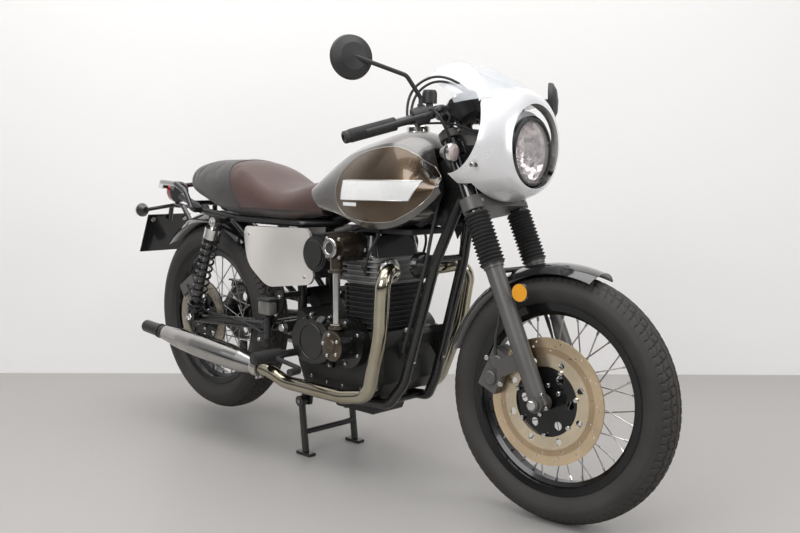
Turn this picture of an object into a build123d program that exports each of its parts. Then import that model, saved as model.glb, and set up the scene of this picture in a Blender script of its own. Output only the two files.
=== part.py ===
# Cafe racer motorcycle with an air-cooled upright twin, parked on its centre stand.
# Millimetres. X forward, Y to the rider's left, Z up, floor at zero.
# Stations are distances forward of the rear axle; they become X when the origin is set at the end.
import os
from math import atan2, cos, degrees, hypot, pi, radians, sin

from build123d import *

os.makedirs("parts", exist_ok=True)

# Driving sizes
wheelbase = 1465.0
rear_lift = 35.0
rake_parked = 24.5
fork_offset = 55.2
steer_rest = 4.4
origin_station = 684.0
running_gap = 0.3
pin_gap = 0.1

# Wheels and tyres
front_tyre_radius = 318.6
front_tyre_width = 100.0
rear_tyre_radius = 332.6
rear_tyre_width = 130.0
bead_radius = 229.0
front_rim_width = 74.0
rear_rim_width = 88.0
rim_lip_height = 14.0
rim_depth = 17.0
rim_edge = 5.0
spoke_radius = 1.9
spoke_count = 36
axle_radius = 9.0
front_disc_radius = 160.0
front_disc_y = -64.0
rear_disc_radius = 135.0
rear_disc_y = -84.0
disc_thickness = 5.0
carrier_thickness = 4.0
chain_y = 84.0
chain_pitch = 15.875
front_sprocket_radius = 38.2
rear_sprocket_radius = 94.0

# Fork and steering head
fork_half_spacing = 97.0
lower_leg_radius = 23.5
fork_tube_radius = 20.5
gaiter_radius = 34.0
gaiter_rings = 14
leg_top = 364.0
gaiter_top = 505.0
lower_yoke_at = 530.0
lower_yoke_height = 34.0
upper_yoke_at = 724.0
upper_yoke_height = 20.0
head_tube_radius = 29.0
stem_radius = 15.0
bar_radius = 11.1
bar_centre = (1112.0, 1030.0)
clamp_y = 42.0

# Chassis
pivot_station = 520.0
pivot_height = 400.0
arm_y = 116.0
arm_eye_y = 76.0
frame_post_y = 58.0
peg_height = 316.0
arm_radius = 17.0
frame_tube_radius = 15.0
rail_radius = 12.0
stand_foot_station = 586.0
stand_pivot_station = 568.0
stand_pivot_height = 170.0
stand_half_width = 104.0
shock_y = 152.0
shock_low = (45.0, 392.0)
shock_high = (182.0, 716.0)

# Engine
cylinder_station = 836.0
crank_station = 821.0
crank_height = 391.0
case_half_width = 114.0
airbox_half = 78.0
barrel_base = 430.0
cam_height = 671.0
head_top = cam_height - 31.0
cover_top = cam_height + 31.0
barrel_top = head_top - 78.0
bevel_y = -180.0
silencer_radius = 40.0
header_radius = 21.0

# Steering axis, worked out from the rake and the front axle
rake = radians(rake_parked)
rear_axle = Vector(0, 0, rear_tyre_radius + rear_lift)
front_axle = Vector(wheelbase - 1.0, 0, front_tyre_radius)
along_fork = Vector(-sin(rake), 0, cos(rake))
ahead_of_fork = Vector(cos(rake), 0, sin(rake))
steering_point = front_axle - ahead_of_fork * fork_offset
steering_axis = Axis(steering_point, along_fork)

nodes = {}


def tube(points, radius, bends):
    """A round bar along straight runs joined by arcs."""
    path = FilletPolyline(*points, radius=bends)
    section = Plane(origin=path @ 0, z_dir=path % 0) * Circle(radius)
    return sweep(section, path=path)


def rod(start, end, radius):
    """A round bar from one point to another."""
    start, end = Vector(*start), Vector(*end)
    span = end - start
    bar = extrude(Circle(radius), span.length)
    return Plane(origin=start, z_dir=span) * bar


def turned(outline, origin=(0, 0, 0), direction=(0, 0, 1)):
    """A solid of revolution from (radius, height) points, stood on a point along a direction."""
    face = make_face(Polyline(*[(r, 0, h) for r, h in outline], close=True))
    return Plane(origin=origin, z_dir=direction) * revolve(face, axis=Axis.Z)


def plate(outline, y_low, y_high, corner=0.0):
    """A flat plate from (station, height) points, between two Y values."""
    face = make_face(Polyline(*[(x, 0, z) for x, z in outline], close=True))
    if corner:
        face = fillet(face.vertices(), corner)
    solid = extrude(face, y_high - y_low, dir=(0, 1, 0))
    return Pos(0, y_low, 0) * solid


def across(solid):
    """The same solid on the other side of the machine."""
    return mirror(solid, about=Plane.XZ)


def both(solid):
    return [solid, across(solid)]


def fork_point(up, ahead=0.0, side=0.0):
    """A point measured from the front axle, up the fork, ahead of it and to one side."""
    return front_axle + along_fork * up + ahead_of_fork * ahead + Vector(0, side, 0)


def body_section(row):
    """A closed outline across the machine: a bowed floor, bowed sides and a crowned top."""
    station, floor_z, low_w, low_z, mid_w, mid_z, top_w, top_z, crown_z = row
    low_l, low_r = (station, low_w, low_z), (station, -low_w, low_z)
    top_l, top_r = (station, top_w, top_z), (station, -top_w, top_z)
    return Wire([
        Edge.make_three_point_arc(low_r, (station, 0, floor_z), low_l),
        Edge.make_three_point_arc(low_l, (station, mid_w, mid_z), top_l),
        Edge.make_three_point_arc(top_l, (station, 0, crown_z), top_r),
        Edge.make_three_point_arc(top_r, (station, -mid_w, mid_z), low_r),
    ])


def body(rows):
    return Solid.make_loft([body_section(row) for row in rows])


def keep(name, *solids):
    """Files the solids under a node's name."""
    flat = []
    for solid in solids:
        flat += list(solid) if isinstance(solid, (list, tuple)) else [solid]
    pieces = [s for shape in flat for s in shape.solids()]
    nodes.setdefault(name, []).extend(pieces)


# Tyres: a crown of five flats, a short sidewall and a bead on each side
# share of the half width, drop from the tread's top as a share of the half width
crown_rows = ((0.24, 0.008), (0.70, 0.22), (1.0, 0.72))


def tyre(radius, width, rim_width):
    half = width / 2
    seat = rim_width / 2 - rim_edge - running_gap
    lip = bead_radius + rim_lip_height + running_gap
    left = [(bead_radius + running_gap, seat), (lip, seat + 1)]
    left += [(radius - drop * half, share * half) for share, drop in reversed(crown_rows)]
    outline = left + [(r, -y) for r, y in reversed(left)]
    face = make_face(Polyline(*outline, close=True))
    return revolve(face, axis=Axis.Y)


def rim(width):
    half = width / 2
    lip = bead_radius + rim_lip_height
    base = bead_radius - rim_depth
    right = [
        (lip, half), (lip, half - 3.5), (bead_radius, half - rim_edge), (bead_radius, 15),
        (bead_radius - 11, 11),
    ]
    under = [(base, 12), (bead_radius - 6, 18), (bead_radius - 5, half - 3)]
    outline = right + [(r, -y) for r, y in reversed(right)] + [(r, -y) for r, y in reversed(under)] + under
    face = make_face(Polyline(*outline, close=True))
    return revolve(face, axis=Axis.Y)


def hub(half_width, flange_y, flange_radius, barrel_radius):
    """Two spoke flanges on a waisted barrel."""
    outline = [
        (0, -half_width), (barrel_radius, -half_width), (barrel_radius, -flange_y - 3),
        (flange_radius, -flange_y - 3), (flange_radius, -flange_y + 3), (barrel_radius, -flange_y + 6),
        (barrel_radius, flange_y - 6), (flange_radius, flange_y - 3), (flange_radius, flange_y + 3),
        (barrel_radius, flange_y + 3), (barrel_radius, half_width), (0, half_width),
    ]
    return revolve(make_face(Polyline(*outline, close=True)), axis=Axis.Y)


# Spoke families: hub side, hub Y, rim Y, turn at the rim
spoke_rows = (
    (1, 3.6, 8.0, 66.0),
    (1, -3.6, 2.5, -66.0),
    (-1, 3.6, 8.0, 66.0),
    (-1, -3.6, 2.5, -66.0),
)


def spokes(flange_y, flange_radius):
    """Laced wires from the hub flanges to the rim base, crossing in two layers on each side."""
    inner = flange_radius + 2.3
    outer = bead_radius - rim_depth - 0.6
    step = 360 / (spoke_count / 4)
    wires = []
    for row, (side, layer, rim_y, turn) in enumerate(spoke_rows):
        for n in range(spoke_count // 4):
            at_rim = radians(n * step + row * step / 4)
            at_hub = at_rim - radians(turn)
            start = (inner * cos(at_hub), side * (flange_y + layer), inner * sin(at_hub))
            end = (outer * cos(at_rim), side * rim_y, outer * sin(at_rim))
            wires.append(rod(start, end, spoke_radius))
    return wires


def disc_ring(radius, y, inner_radius, lug_windows, drill_lines):
    """A brake disc with windows between its lugs and slanting lines of drilled holes."""
    ring = Cylinder(radius, disc_thickness) - Cylinder(inner_radius, 2 * disc_thickness)
    for n in range(lug_windows):
        ring -= Rot(0, 0, (n + 0.5) * 360 / lug_windows) * Pos(inner_radius + 15, 0, 0) * Cylinder(9, 2 * disc_thickness)
    holes = []
    for n in range(drill_lines):
        for row in range(3):
            turn = n * 360 / drill_lines + row * 5
            holes.append(Rot(0, 0, turn) * Pos(radius - 10 - 10 * row, 0, 0) * Cylinder(3.2, 2 * disc_thickness))
    return Pos(0, y, 0) * Rot(90, 0, 0) * (ring - holes)


def disc_carrier(radius, y, window_radius, window_at, windows):
    """The windowed plate that carries a disc or sprocket on the hub."""
    carrier = Rot(90, 0, 0) * Cylinder(radius, carrier_thickness)
    for n in range(windows):
        turned_to = Rot(90, 0, 0) * Rot(0, 0, n * 360 / windows)
        carrier -= turned_to * Pos(window_at, 0, 0) * Cylinder(window_radius, 2 * carrier_thickness)
    return Pos(0, y, 0) * carrier


front_flange_y = 30.0
front_flange_radius = 46.0
rear_flange_y = 36.0
rear_flange_radius = 58.0
at_front = Pos(*front_axle)
at_rear = Pos(*rear_axle)

keep("front_tyre", at_front * tyre(front_tyre_radius, front_tyre_width, front_rim_width))
keep("front_rim", at_front * rim(front_rim_width))
keep("front_spokes", [at_front * s for s in spokes(front_flange_y, front_flange_radius)])
keep("rear_tyre", at_rear * tyre(rear_tyre_radius, rear_tyre_width, rear_rim_width))
keep("rear_rim", at_rear * rim(rear_rim_width))
keep("rear_spokes", [at_rear * s for s in spokes(rear_flange_y, rear_flange_radius)])

# Discs sit on the right of each hub, the sprocket on the left of the rear one
disc_step = (disc_thickness + carrier_thickness) / 2 + 0.3
front_bore = rod((0, -90, 0), (0, 90, 0), axle_radius + pin_gap)
front_carrier = disc_carrier(97.0, front_disc_y + disc_step, 11.0, 66.0, 6)
front_hub = hub(58.0, front_flange_y, front_flange_radius, 27.0) + front_carrier
keep("front_hub", at_front * (front_hub - front_bore))
keep("front_disc", at_front * disc_ring(front_disc_radius, front_disc_y, 88.0, 8, 14))
rear_carrier = disc_carrier(102.0, rear_disc_y + disc_step, 12.0, 70.0, 8)
rear_hub = hub(86.0, rear_flange_y, rear_flange_radius, 34.0) + rear_carrier
keep("rear_hub", at_rear * (rear_hub - front_bore))
keep("rear_disc", at_rear * disc_ring(rear_disc_radius, rear_disc_y, 94.0, 0, 12))
tooth_tip = rear_sprocket_radius - 7.3
sprocket = Rot(90, 0, 0) * (Cylinder(tooth_tip, 6) - Cylinder(34.3, 20))
for n in range(5):
    sprocket -= Rot(90, 0, 0) * Rot(0, 0, n * 72) * Pos(62, 0, 0) * Cylinder(16, 20)
keep("rear_sprocket", at_rear * Pos(0, chain_y, 0) * sprocket)

# Fork: lower legs, rubber gaiters, tubes and the two yokes
axle_eye_radius = 21.0
reflector_up = 270.0
reflector_ahead = 57.0
lowers = []
for side in (fork_half_spacing, -fork_half_spacing):
    leg = rod(fork_point(-8, 0, side), fork_point(leg_top, 0, side), lower_leg_radius)
    eye = rod(front_axle + Vector(0, side - 24, 0), front_axle + Vector(0, side + 24, 0), axle_eye_radius)
    leg = leg + eye
    if side < 0:
        leg += Plane(origin=fork_point(0, 0, side), x_dir=ahead_of_fork, z_dir=along_fork) * Pos(-46, -3.35, 114) * Box(76, 9.7, 44)
    leg += rod(fork_point(reflector_up, 0, side), fork_point(reflector_up, reflector_ahead + 8, side), 5)
    leg += rod(fork_point(leg_top - 8, 0, side), fork_point(leg_top, 0, side), lower_leg_radius + 3)
    hole = rod(front_axle + Vector(0, side - 40, 0), front_axle + Vector(0, side + 40, 0), axle_radius + pin_gap)
    lowers.append(leg - hole)
keep("fork_lowers", lowers)

axle_half = fork_half_spacing + 26
front_axle_bar = rod(front_axle - Vector(0, axle_half, 0), front_axle + Vector(0, axle_half, 0), axle_radius)
for sign in (1, -1):
    cap_at = front_axle + Vector(0, sign * (fork_half_spacing + 24 + running_gap), 0)
    front_axle_bar += rod(cap_at, cap_at + Vector(0, sign * 7, 0), 15.0)
keep("front_axle", front_axle_bar)

gaiters = []
for side in (fork_half_spacing, -fork_half_spacing):
    pitch = (gaiter_top - leg_top - 1) / gaiter_rings
    outline = [(fork_tube_radius + running_gap, 0)]
    for n in range(gaiter_rings):
        outline += [(gaiter_radius - 7, n * pitch), (gaiter_radius, (n + 0.5) * pitch)]
    outline += [(gaiter_radius - 7, gaiter_rings * pitch), (fork_tube_radius + running_gap, gaiter_rings * pitch)]
    gaiters.append(turned(outline, fork_point(leg_top + 0.5, 0, side), along_fork))
keep("fork_gaiters", gaiters)

tubes = []
for side in (fork_half_spacing, -fork_half_spacing):
    top = upper_yoke_at + upper_yoke_height / 2 + 6
    tubes.append(rod(fork_point(leg_top + 0.3, 0, side), fork_point(top, 0, side), fork_tube_radius))
keep("fork_tubes", tubes)


def yoke(at, height, rim_width, stem_width):
    """A clamp that joins both fork tubes to the steering stem."""
    base = Plane(origin=fork_point(at - height / 2), x_dir=ahead_of_fork, z_dir=along_fork)
    ears = [Pos(0, side, 0) * Circle(fork_tube_radius + rim_width) for side in (-fork_half_spacing, fork_half_spacing)]
    middle = Pos(-fork_offset, 0, 0) * Circle(stem_width)
    outline = make_hull((ears[0] + ears[1] + middle).edges())
    block = base * extrude(outline, height)
    for side in (-fork_half_spacing, fork_half_spacing):
        block -= rod(fork_point(at - height, 0, side), fork_point(at + height, 0, side), fork_tube_radius + 0.05)
    return block


stem = rod(fork_point(lower_yoke_at, -fork_offset), fork_point(upper_yoke_at + 26, -fork_offset), stem_radius)
yokes = yoke(lower_yoke_at, lower_yoke_height, 11, 30) + yoke(upper_yoke_at, upper_yoke_height, 9, 28) + stem
for sign in (1, -1):
    foot = fork_point(upper_yoke_at, -38, sign * clamp_y)
    yokes += rod(foot, Vector(bar_centre[0], sign * clamp_y, bar_centre[1]), 12)
    yokes += rod((bar_centre[0], sign * clamp_y - 13, bar_centre[1]), (bar_centre[0], sign * clamp_y + 13, bar_centre[1]), 19)
yokes -= rod((bar_centre[0], -90, bar_centre[1]), (bar_centre[0], 90, bar_centre[1]), bar_radius + running_gap)
keep("yokes", yokes)

# Front fender: a thin rounded channel turned about the axle, with a bracket between the legs
fender_inner = 341.0
fender_half = 59.0
fender_wall = 2.5
fender_drop = 25.0


def fender(inner, half, drop, first, last):
    outer = inner + fender_wall
    arc_out = Edge.make_three_point_arc((outer - drop, -half, 0), (outer, 0, 0), (outer - drop, half, 0))
    arc_in = Edge.make_three_point_arc(
        (inner - drop, -half + fender_wall, 0), (inner, 0, 0), (inner - drop, half - fender_wall, 0)
    )
    low = Edge.make_line((outer - drop, half, 0), (inner - drop, half - fender_wall, 0))
    high = Edge.make_line((inner - drop, -half + fender_wall, 0), (outer - drop, -half, 0))
    face = Face(Wire([arc_out, arc_in, low, high]))
    return Rot(0, -first, 0) * revolve(face, axis=Axis.Y, revolution_arc=-(last - first))


brace_end = fork_half_spacing - lower_leg_radius - running_gap
brace = rod(fork_point(fender_inner + 6, 0, -brace_end), fork_point(fender_inner + 6, 0, brace_end), 7)
keep("front_fender", at_front * fender(fender_inner, fender_half, fender_drop, 71.0, 166.0) + brace)

# Handlebar, right half listed from the centre out: station, Y, height
bar_points = (
    (bar_centre[0], -84, bar_centre[1]), (1192, -158, 1046), (1140, -232, 1010), (1068, -372, 963),
)
right_bar = [Vector(*p) for p in bar_points]
left_bar = [Vector(x, -y, z) for x, y, z in reversed(bar_points)]
handlebar = tube(left_bar + right_bar, bar_radius, [20, 34, 30, 30, 34, 20])
bar_end_bore = 8.0
grip_radius = 16.5
grips = []
for sign in (1, -1):
    outer_end = Vector(1068, -372 * sign, 963)
    inner_end = Vector(1140, -232 * sign, 1010)
    axis_way = (outer_end - inner_end).normalized()
    start = outer_end - axis_way * 122
    grip = rod(start, outer_end + axis_way * 4, grip_radius)
    grips.append(grip - rod(start - axis_way * 9, outer_end + axis_way * 9, bar_radius + 0.2))
    handlebar -= rod(outer_end - axis_way * 30, outer_end + axis_way * 9, bar_end_bore)
keep("handlebar", handlebar)
keep("grips", grips)

# Cowl: a shell round the headlight, with an arch cut in each side for the controls
cowl_wall = 3.0
# station, floor, low half width, its height, mid half width, its height, top half width, its height, crown
cowl_rows = (
    (1366.0, 843.0, 76.4, 874.6, 108.0, 951.0, 76.4, 1027.4, 1059.0),
    (1340.0, 822.0, 116.0, 868.0, 150.0, 948.0, 110.0, 1053.0, 1095.0),
    (1285.0, 808.0, 138.0, 862.0, 178.0, 950.0, 140.0, 1052.0, 1103.0),
    (1190.0, 812.0, 144.0, 867.0, 187.0, 956.0, 152.0, 1055.0, 1104.0),
)


def grown(row, by):
    """The same cowl section, larger all round."""
    station, floor_z, low_w, low_z, mid_w, mid_z, top_w, top_z, crown_z = row
    slant = 0.7 * by
    return (station, floor_z - by, low_w + slant, low_z - slant, mid_w + by, mid_z, top_w + slant, top_z + slant, crown_z + by)


outer_cowl = body(cowl_rows)
inner_rows = [grown(row, -cowl_wall) for row in cowl_rows]
inner_rows[0] = (cowl_rows[0][0] + 1, *inner_rows[0][1:])
inner_rows[-1] = (cowl_rows[-1][0] - 1, *inner_rows[-1][1:])
cowl = outer_cowl - body(inner_rows)
cowl -= rod((1196, -300, 990), (1196, 300, 990), 112)
cowl -= plate([(1150, 1010), (1150, 790), (1262, 790), (1204, 880), (1196, 900)], -300, 300)
behind_fork = Plane(origin=fork_point(600, 40, 0), x_dir=(0, 1, 0), z_dir=ahead_of_fork)
cowl -= behind_fork * Pos(0, 0, -150) * Box(268, 420, 300)
cowl_bolt = (1296.0, 900.0)
cowl -= rod((cowl_bolt[0], -300, cowl_bolt[1]), (cowl_bolt[0], 300, cowl_bolt[1]), 5 + running_gap)
keep("cowl", [s for s in cowl.solids() if s.volume > 5000])

# Windscreen: a bowed clear sheet that stands on the top of the cowl
screen_wall = 3.0
# station at the sides, half width, side height, middle station, middle height
screen_rows = (
    (1216.0, 154.0, 1056.0, 1360.0, 1078.0),
    (1198.0, 150.0, 1080.0, 1328.0, 1101.0),
    (1150.0, 142.0, 1108.0, 1255.0, 1142.0),
    (1112.0, 124.0, 1132.0, 1126.0, 1182.0),
)


def screen_band(station, half, height, middle_station, middle_height):
    left, right = Vector(station, half, height), Vector(station, -half, height)
    middle = Vector(middle_station, 0, middle_height)
    bow = (middle - (left + right) * 0.5).normalized()
    edge = Vector(0, screen_wall, 0)
    return Wire([
        Edge.make_three_point_arc(left, middle, right),
        Edge.make_line(right, right + edge),
        Edge.make_three_point_arc(right + edge, middle - bow * screen_wall, left - edge),
        Edge.make_line(left - edge, left),
    ])


screen = Solid.make_loft([screen_band(*row) for row in screen_rows])
screen -= body([grown(row, running_gap) for row in cowl_rows])
keep("windscreen", [s for s in screen.solids() if s.volume > 5000])

# Headlight: bowl, rim and lens
lamp_centre = Vector(1351, 0, 938)
lamp_radius = 88.0
headlight = turned(
    [(0, -120), (40, -112), (74, -70), (lamp_radius, -12), (lamp_radius + 4, -6), (lamp_radius + 4, 4), (lamp_radius - 4, 7), (60, 13), (0, 18)],
    lamp_centre, (1, 0, 0),
)
ear_station = 1314.0
headlight += rod((ear_station, -91, lamp_centre.Z), (ear_station, 91, lamp_centre.Z), 9)
keep("headlight", headlight)
clamp_up = (lamp_centre.Z - front_axle.Z) / cos(rake)
for sign in (1, -1):
    clamp_low = fork_point(clamp_up - 16, 0, sign * fork_half_spacing)
    clamp_high = fork_point(clamp_up + 16, 0, sign * fork_half_spacing)
    arm = rod(clamp_low, clamp_high, fork_tube_radius + 6)
    near_y, far_y = sorted((sign * 91.3, sign * 96.3))
    arm += plate([(1190, 924), (1190, 952), (1326, 952), (1326, 924), (1302, 888), (1290, 888)], near_y, far_y, 4)
    arm += rod((cowl_bolt[0], sign * 93, cowl_bolt[1]), (cowl_bolt[0], sign * 176, cowl_bolt[1]), 5)
    arm -= rod(clamp_low - along_fork * 40, clamp_high + along_fork * 9, fork_tube_radius + 0.05)
    keep("lamp_bracket", arm)

# Instruments: two round gauges in pods, tilted towards the rider
gauge_tilt = radians(35)
gauge_way = Vector(-sin(gauge_tilt), 0, cos(gauge_tilt))
gauges = Plane(origin=Vector(1168, 0, 1066) - gauge_way * 16, x_dir=(0, 1, 0), z_dir=gauge_way) * Box(60, 46, 14)
for sign in (1, -1):
    gauges += turned(
        [(0, -48), (26, -46), (42, -14), (44, 0), (44, 6), (40, 8), (38, 4), (0, 4)],
        (1168, sign * 54, 1066), gauge_way,
    )
    stem_foot = fork_point(upper_yoke_at + upper_yoke_height / 2 + running_gap, 10, sign * 54)
    gauges += rod(stem_foot, stem_foot + along_fork * 44, 8)
keep("instruments", gauges)

# Turn signals: round lamps on short stalks
signal_outline = [(0, -26), (12, -24), (22, -6), (25, 0), (25, 10), (22, 13), (12, 18), (0, 19)]
for sign in (1, -1):
    head = turned(signal_outline, (1212, sign * 158, 931), (1, 0, 0))
    clamp_edge = fork_half_spacing + fork_tube_radius + 6 + running_gap
    stalk = tube([Vector(1186, sign * clamp_edge, 931), Vector(1186, sign * 140, 931), Vector(1204, sign * 155, 931)], 7, [8])
    keep("front_signals", head + stalk)

# Mirrors: station, Y, height, turn of the face about the vertical
mirror_rows = (
    (1057, -362, 1156, -24),
    (1180, 368, 1104, 28),
)
mirror_radius = 56.0
for station, y, height, turn in mirror_rows:
    sign = 1 if y > 0 else -1
    facing = Vector(cos(radians(turn)), sin(radians(turn)), 0.06).normalized()
    centre = Vector(station, y, height)
    head = turned(
        [(0, -8), (mirror_radius - 2, -8), (mirror_radius, -5), (mirror_radius - 3, 6), (mirror_radius * 0.6, 16), (0, 20)],
        centre, facing,
    )
    base = Vector(1156, sign * 212, 1049 + running_gap)
    knee = Vector(1150, sign * 262, 1116)
    if sign > 0:
        knee = Vector(1160, sign * 262, 1100)
    joint = centre + facing * 14
    keep("mirrors", head + tube([base, base + Vector(0, 0, 16), knee, joint], 5.5, [8, 24]))

# Hand controls: switch housings with a lever and its perch on each side
for sign in (1, -1):
    inner_bend, outer_bend = (Vector(x, -sign * y, z) for x, y, z in bar_points[1:3])
    way = (outer_bend - inner_bend).normalized()
    start = inner_bend + way * 70
    housing = rod(start - way * 18, start + way * 18, 24) + rod((1156, sign * 212, 1025), (1156, sign * 212, 1049), 8)
    lever_root = start + Vector(34, 0, 6)
    housing += rod(start + Vector(22, 0, 6), lever_root, 11)
    if sign < 0:
        housing += rod(inner_bend + way * 34, inner_bend + way * 53, 18)
        housing += rod((1168, -190, 1044), (1162, -186, 1058), 9) + rod((1162, -184, 1054), (1162, -184, 1080), 19)
    housing -= rod(start - way * 60, start + way * 60, bar_radius + running_gap)
    lever = tube(
        [lever_root, lever_root + Vector(14, sign * 36, -8), Vector(1112, sign * 362, 972)], 6, [18],
    )
    keep("hand_controls", housing + lever)

# Amber side reflectors on small arms of the fork legs
for sign in (1, -1):
    reflector_at = fork_point(reflector_up, reflector_ahead, sign * (fork_half_spacing + 6 + running_gap))
    keep("reflectors", rod(reflector_at, reflector_at + Vector(0, sign * 8, 0), 23))

# Front caliper behind the right leg, on the trailing edge of the disc
caliper_at = front_axle + Vector(-140, front_disc_y, 62)
caliper = Pos(*caliper_at) * Rot(0, -66, 0) * (Box(110, 62, 56) - Pos(0, 0, -12) * Box(140, disc_thickness + 4, 60))
keep("front_caliper", caliper)

# Frame: steering head, backbone, cradle tubes and seat rails
side_pivot = Vector(705, 112, 190)
side_axis = Vector(0.129, -0.905, -0.404).normalized()
head_low = lower_yoke_at + lower_yoke_height / 2 + 3
head_high = upper_yoke_at - upper_yoke_height / 2 - 3
frame = rod(fork_point(head_low, -fork_offset), fork_point(head_high, -fork_offset), head_tube_radius)
backbone_front = fork_point(head_high - 40, -fork_offset)
frame += rod(backbone_front, (600, 0, 728), 24)
# Cradle tube, left side: station, Y, height
cradle = [
    (1150, 22, 815), (1090, 58, 640), (980, 66, 285), (934, 82, 220), (600, 84, 198),
    (pivot_station, frame_post_y, 290), (pivot_station, frame_post_y, 724),
]
cradle_tube = tube([Vector(*p) for p in cradle], frame_tube_radius, [150, 120, 34, 60, 40])
rail = tube(
    [Vector(*p) for p in ((640, 0, 726), (pivot_station + 40, 92, 724), (250, 100, 728), (60, 104, 744), (-110, 92, 792))],
    rail_radius, [30, 120, 120],
)
for piece in both(cradle_tube) + both(rail):
    frame += piece
frame += rod((-40, -98, 770), (-40, 98, 770), 9)
lug_height = pivot_height + 100
frame += rod((pivot_station, -frame_post_y, lug_height), (pivot_station, frame_post_y, lug_height), 12)
frame += rod((pivot_station, -94, 724), (pivot_station, 94, 724), 12)
frame += rod((905, -82, 218), (905, 82, 218), 9)
frame += rod((1092, -56, 648), (1092, 56, 648), 9)
for piece in both(rod((pivot_station, 40, pivot_height), (pivot_station, arm_eye_y, pivot_height), 21)):
    frame += piece
for piece in both(rod((pivot_station, frame_post_y, peg_height), (pivot_station, arm_eye_y, peg_height), 15)):
    frame += piece
frame += rod((shock_high[0], -shock_y - 14, shock_high[1]), (shock_high[0], shock_y + 14, shock_high[1]), 8)
for piece in both(rod((40, 103, 750), (40, 116, 750), 10)):
    frame += piece
strut = rod((pivot_station, frame_post_y, 470), (212, 101, 722), 10)
hanger = rod((pivot_station, frame_post_y, lug_height), (pivot_station, 147, lug_height), 9)
hanger += plate([(536, 516), (504, 516), (392, 352), (400, 334), (424, 334), (536, 470)], 141, 147, 8)
for piece in both(strut) + both(hanger):
    frame += piece
frame += rod((1000, -35.7, 861), (1000, 35.7, 861), 14)
for piece in both(plate([(1034, 452), (1012, 332), (966, 386), (966, 438)], 52.3, 60.3, 5)):
    frame += piece
frame += rod(side_pivot + side_axis * 9.3, side_pivot + side_axis * 18, 16)
frame += rod(side_pivot + side_axis * 18, side_pivot - side_axis * 12, 5)
frame += rod(side_pivot - side_axis * 9.4, side_pivot - side_axis * 12, 9)
for piece in both(plate([(546, 205), (594, 205), (586, 156), (552, 156)], 76.0, 88.0, 6)):
    frame += piece
frame -= rod((pivot_station, -200, pivot_height), (pivot_station, 200, pivot_height), 8 + pin_gap)
frame -= rod((stand_pivot_station, -200, stand_pivot_height), (stand_pivot_station, 200, stand_pivot_height), 7 + pin_gap)
frame -= rod(fork_point(head_low - 20, -fork_offset), fork_point(head_high + 20, -fork_offset), stem_radius + running_gap)
keep("main_frame", frame)

# Swingarm with shock studs and axle slots
side_arm = rod((pivot_station, arm_y, pivot_height), (-32, arm_y, rear_axle.Z), arm_radius)
side_arm += rod((pivot_station, arm_eye_y + running_gap, pivot_height), (pivot_station, arm_y + 18, pivot_height), 20)
stud = rod((shock_low[0], arm_y, shock_low[1] - 8), (shock_low[0], shock_y + 14, shock_low[1] - 8), 8)
arm = rod((410, -arm_y, pivot_height - 7), (410, arm_y, pivot_height - 7), 14)
for piece in both(side_arm) + both(stud):
    arm += piece
arm -= rod((pivot_station, -200, pivot_height), (pivot_station, 200, pivot_height), 8 + pin_gap)
arm -= rod((0, -200, rear_axle.Z), (0, 200, rear_axle.Z), axle_radius + pin_gap)
pin_half = arm_y + 18
keep("pivot_pins", rod((pivot_station, -pin_half - 3, pivot_height), (pivot_station, pin_half + 3, pivot_height), 8))
rear_axle_bar = rod((0, -arm_y - 26, rear_axle.Z), (0, arm_y + 26, rear_axle.Z), axle_radius)
for sign in (1, -1):
    nut = rod((0, sign * (arm_y + 17.5), rear_axle.Z), (0, sign * (arm_y + 27), rear_axle.Z), 16)
    rear_axle_bar += nut
keep("rear_axle", rear_axle_bar)

# Rear caliper on a bracket that the axle carries, and the chain guard on the left arm
caliper_angle = radians(122)
caliper_reach = rear_disc_radius - 6
caliper_middle = (caliper_reach * cos(caliper_angle), rear_axle.Z + caliper_reach * sin(caliper_angle))
bracket_y = -arm_y + arm_radius + running_gap
holder = rod((0, bracket_y, rear_axle.Z), (0, bracket_y + 4.5, rear_axle.Z), 26)
holder += plate(
    [(24, rear_axle.Z + 4), (-24, rear_axle.Z - 6), (caliper_middle[0] - 34, caliper_middle[1] - 6), (caliper_middle[0] + 34, caliper_middle[1] + 22)],
    bracket_y, bracket_y + 4.5, 6,
)
caliper_block = Box(88, 40, 42) - Pos(0, 0, -5) * Box(120, disc_thickness + 5, 36)
holder += Pos(caliper_middle[0], rear_disc_y, caliper_middle[1]) * Rot(0, 90 - degrees(caliper_angle), 0) * caliper_block
holder -= rod((0, -200, rear_axle.Z), (0, 0, rear_axle.Z), axle_radius + pin_gap)
keep("rear_caliper", holder)
guard = plate([(-84, 452), (-70, 486), (470, 456), (470, 438), (-40, 462)], 94, 98, 5)
guard += plate([(-70, 480), (-70, 486), (470, 456), (470, 450)], 76, 98)
guard += plate([(58, 466), (92, 466), (84, 372), (66, 372)], 94, 100.5, 4)
guard += plate([(392, 450), (420, 450), (416, 394), (398, 394)], 94, 100.5, 4)
keep("swingarm", arm + guard)

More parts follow.
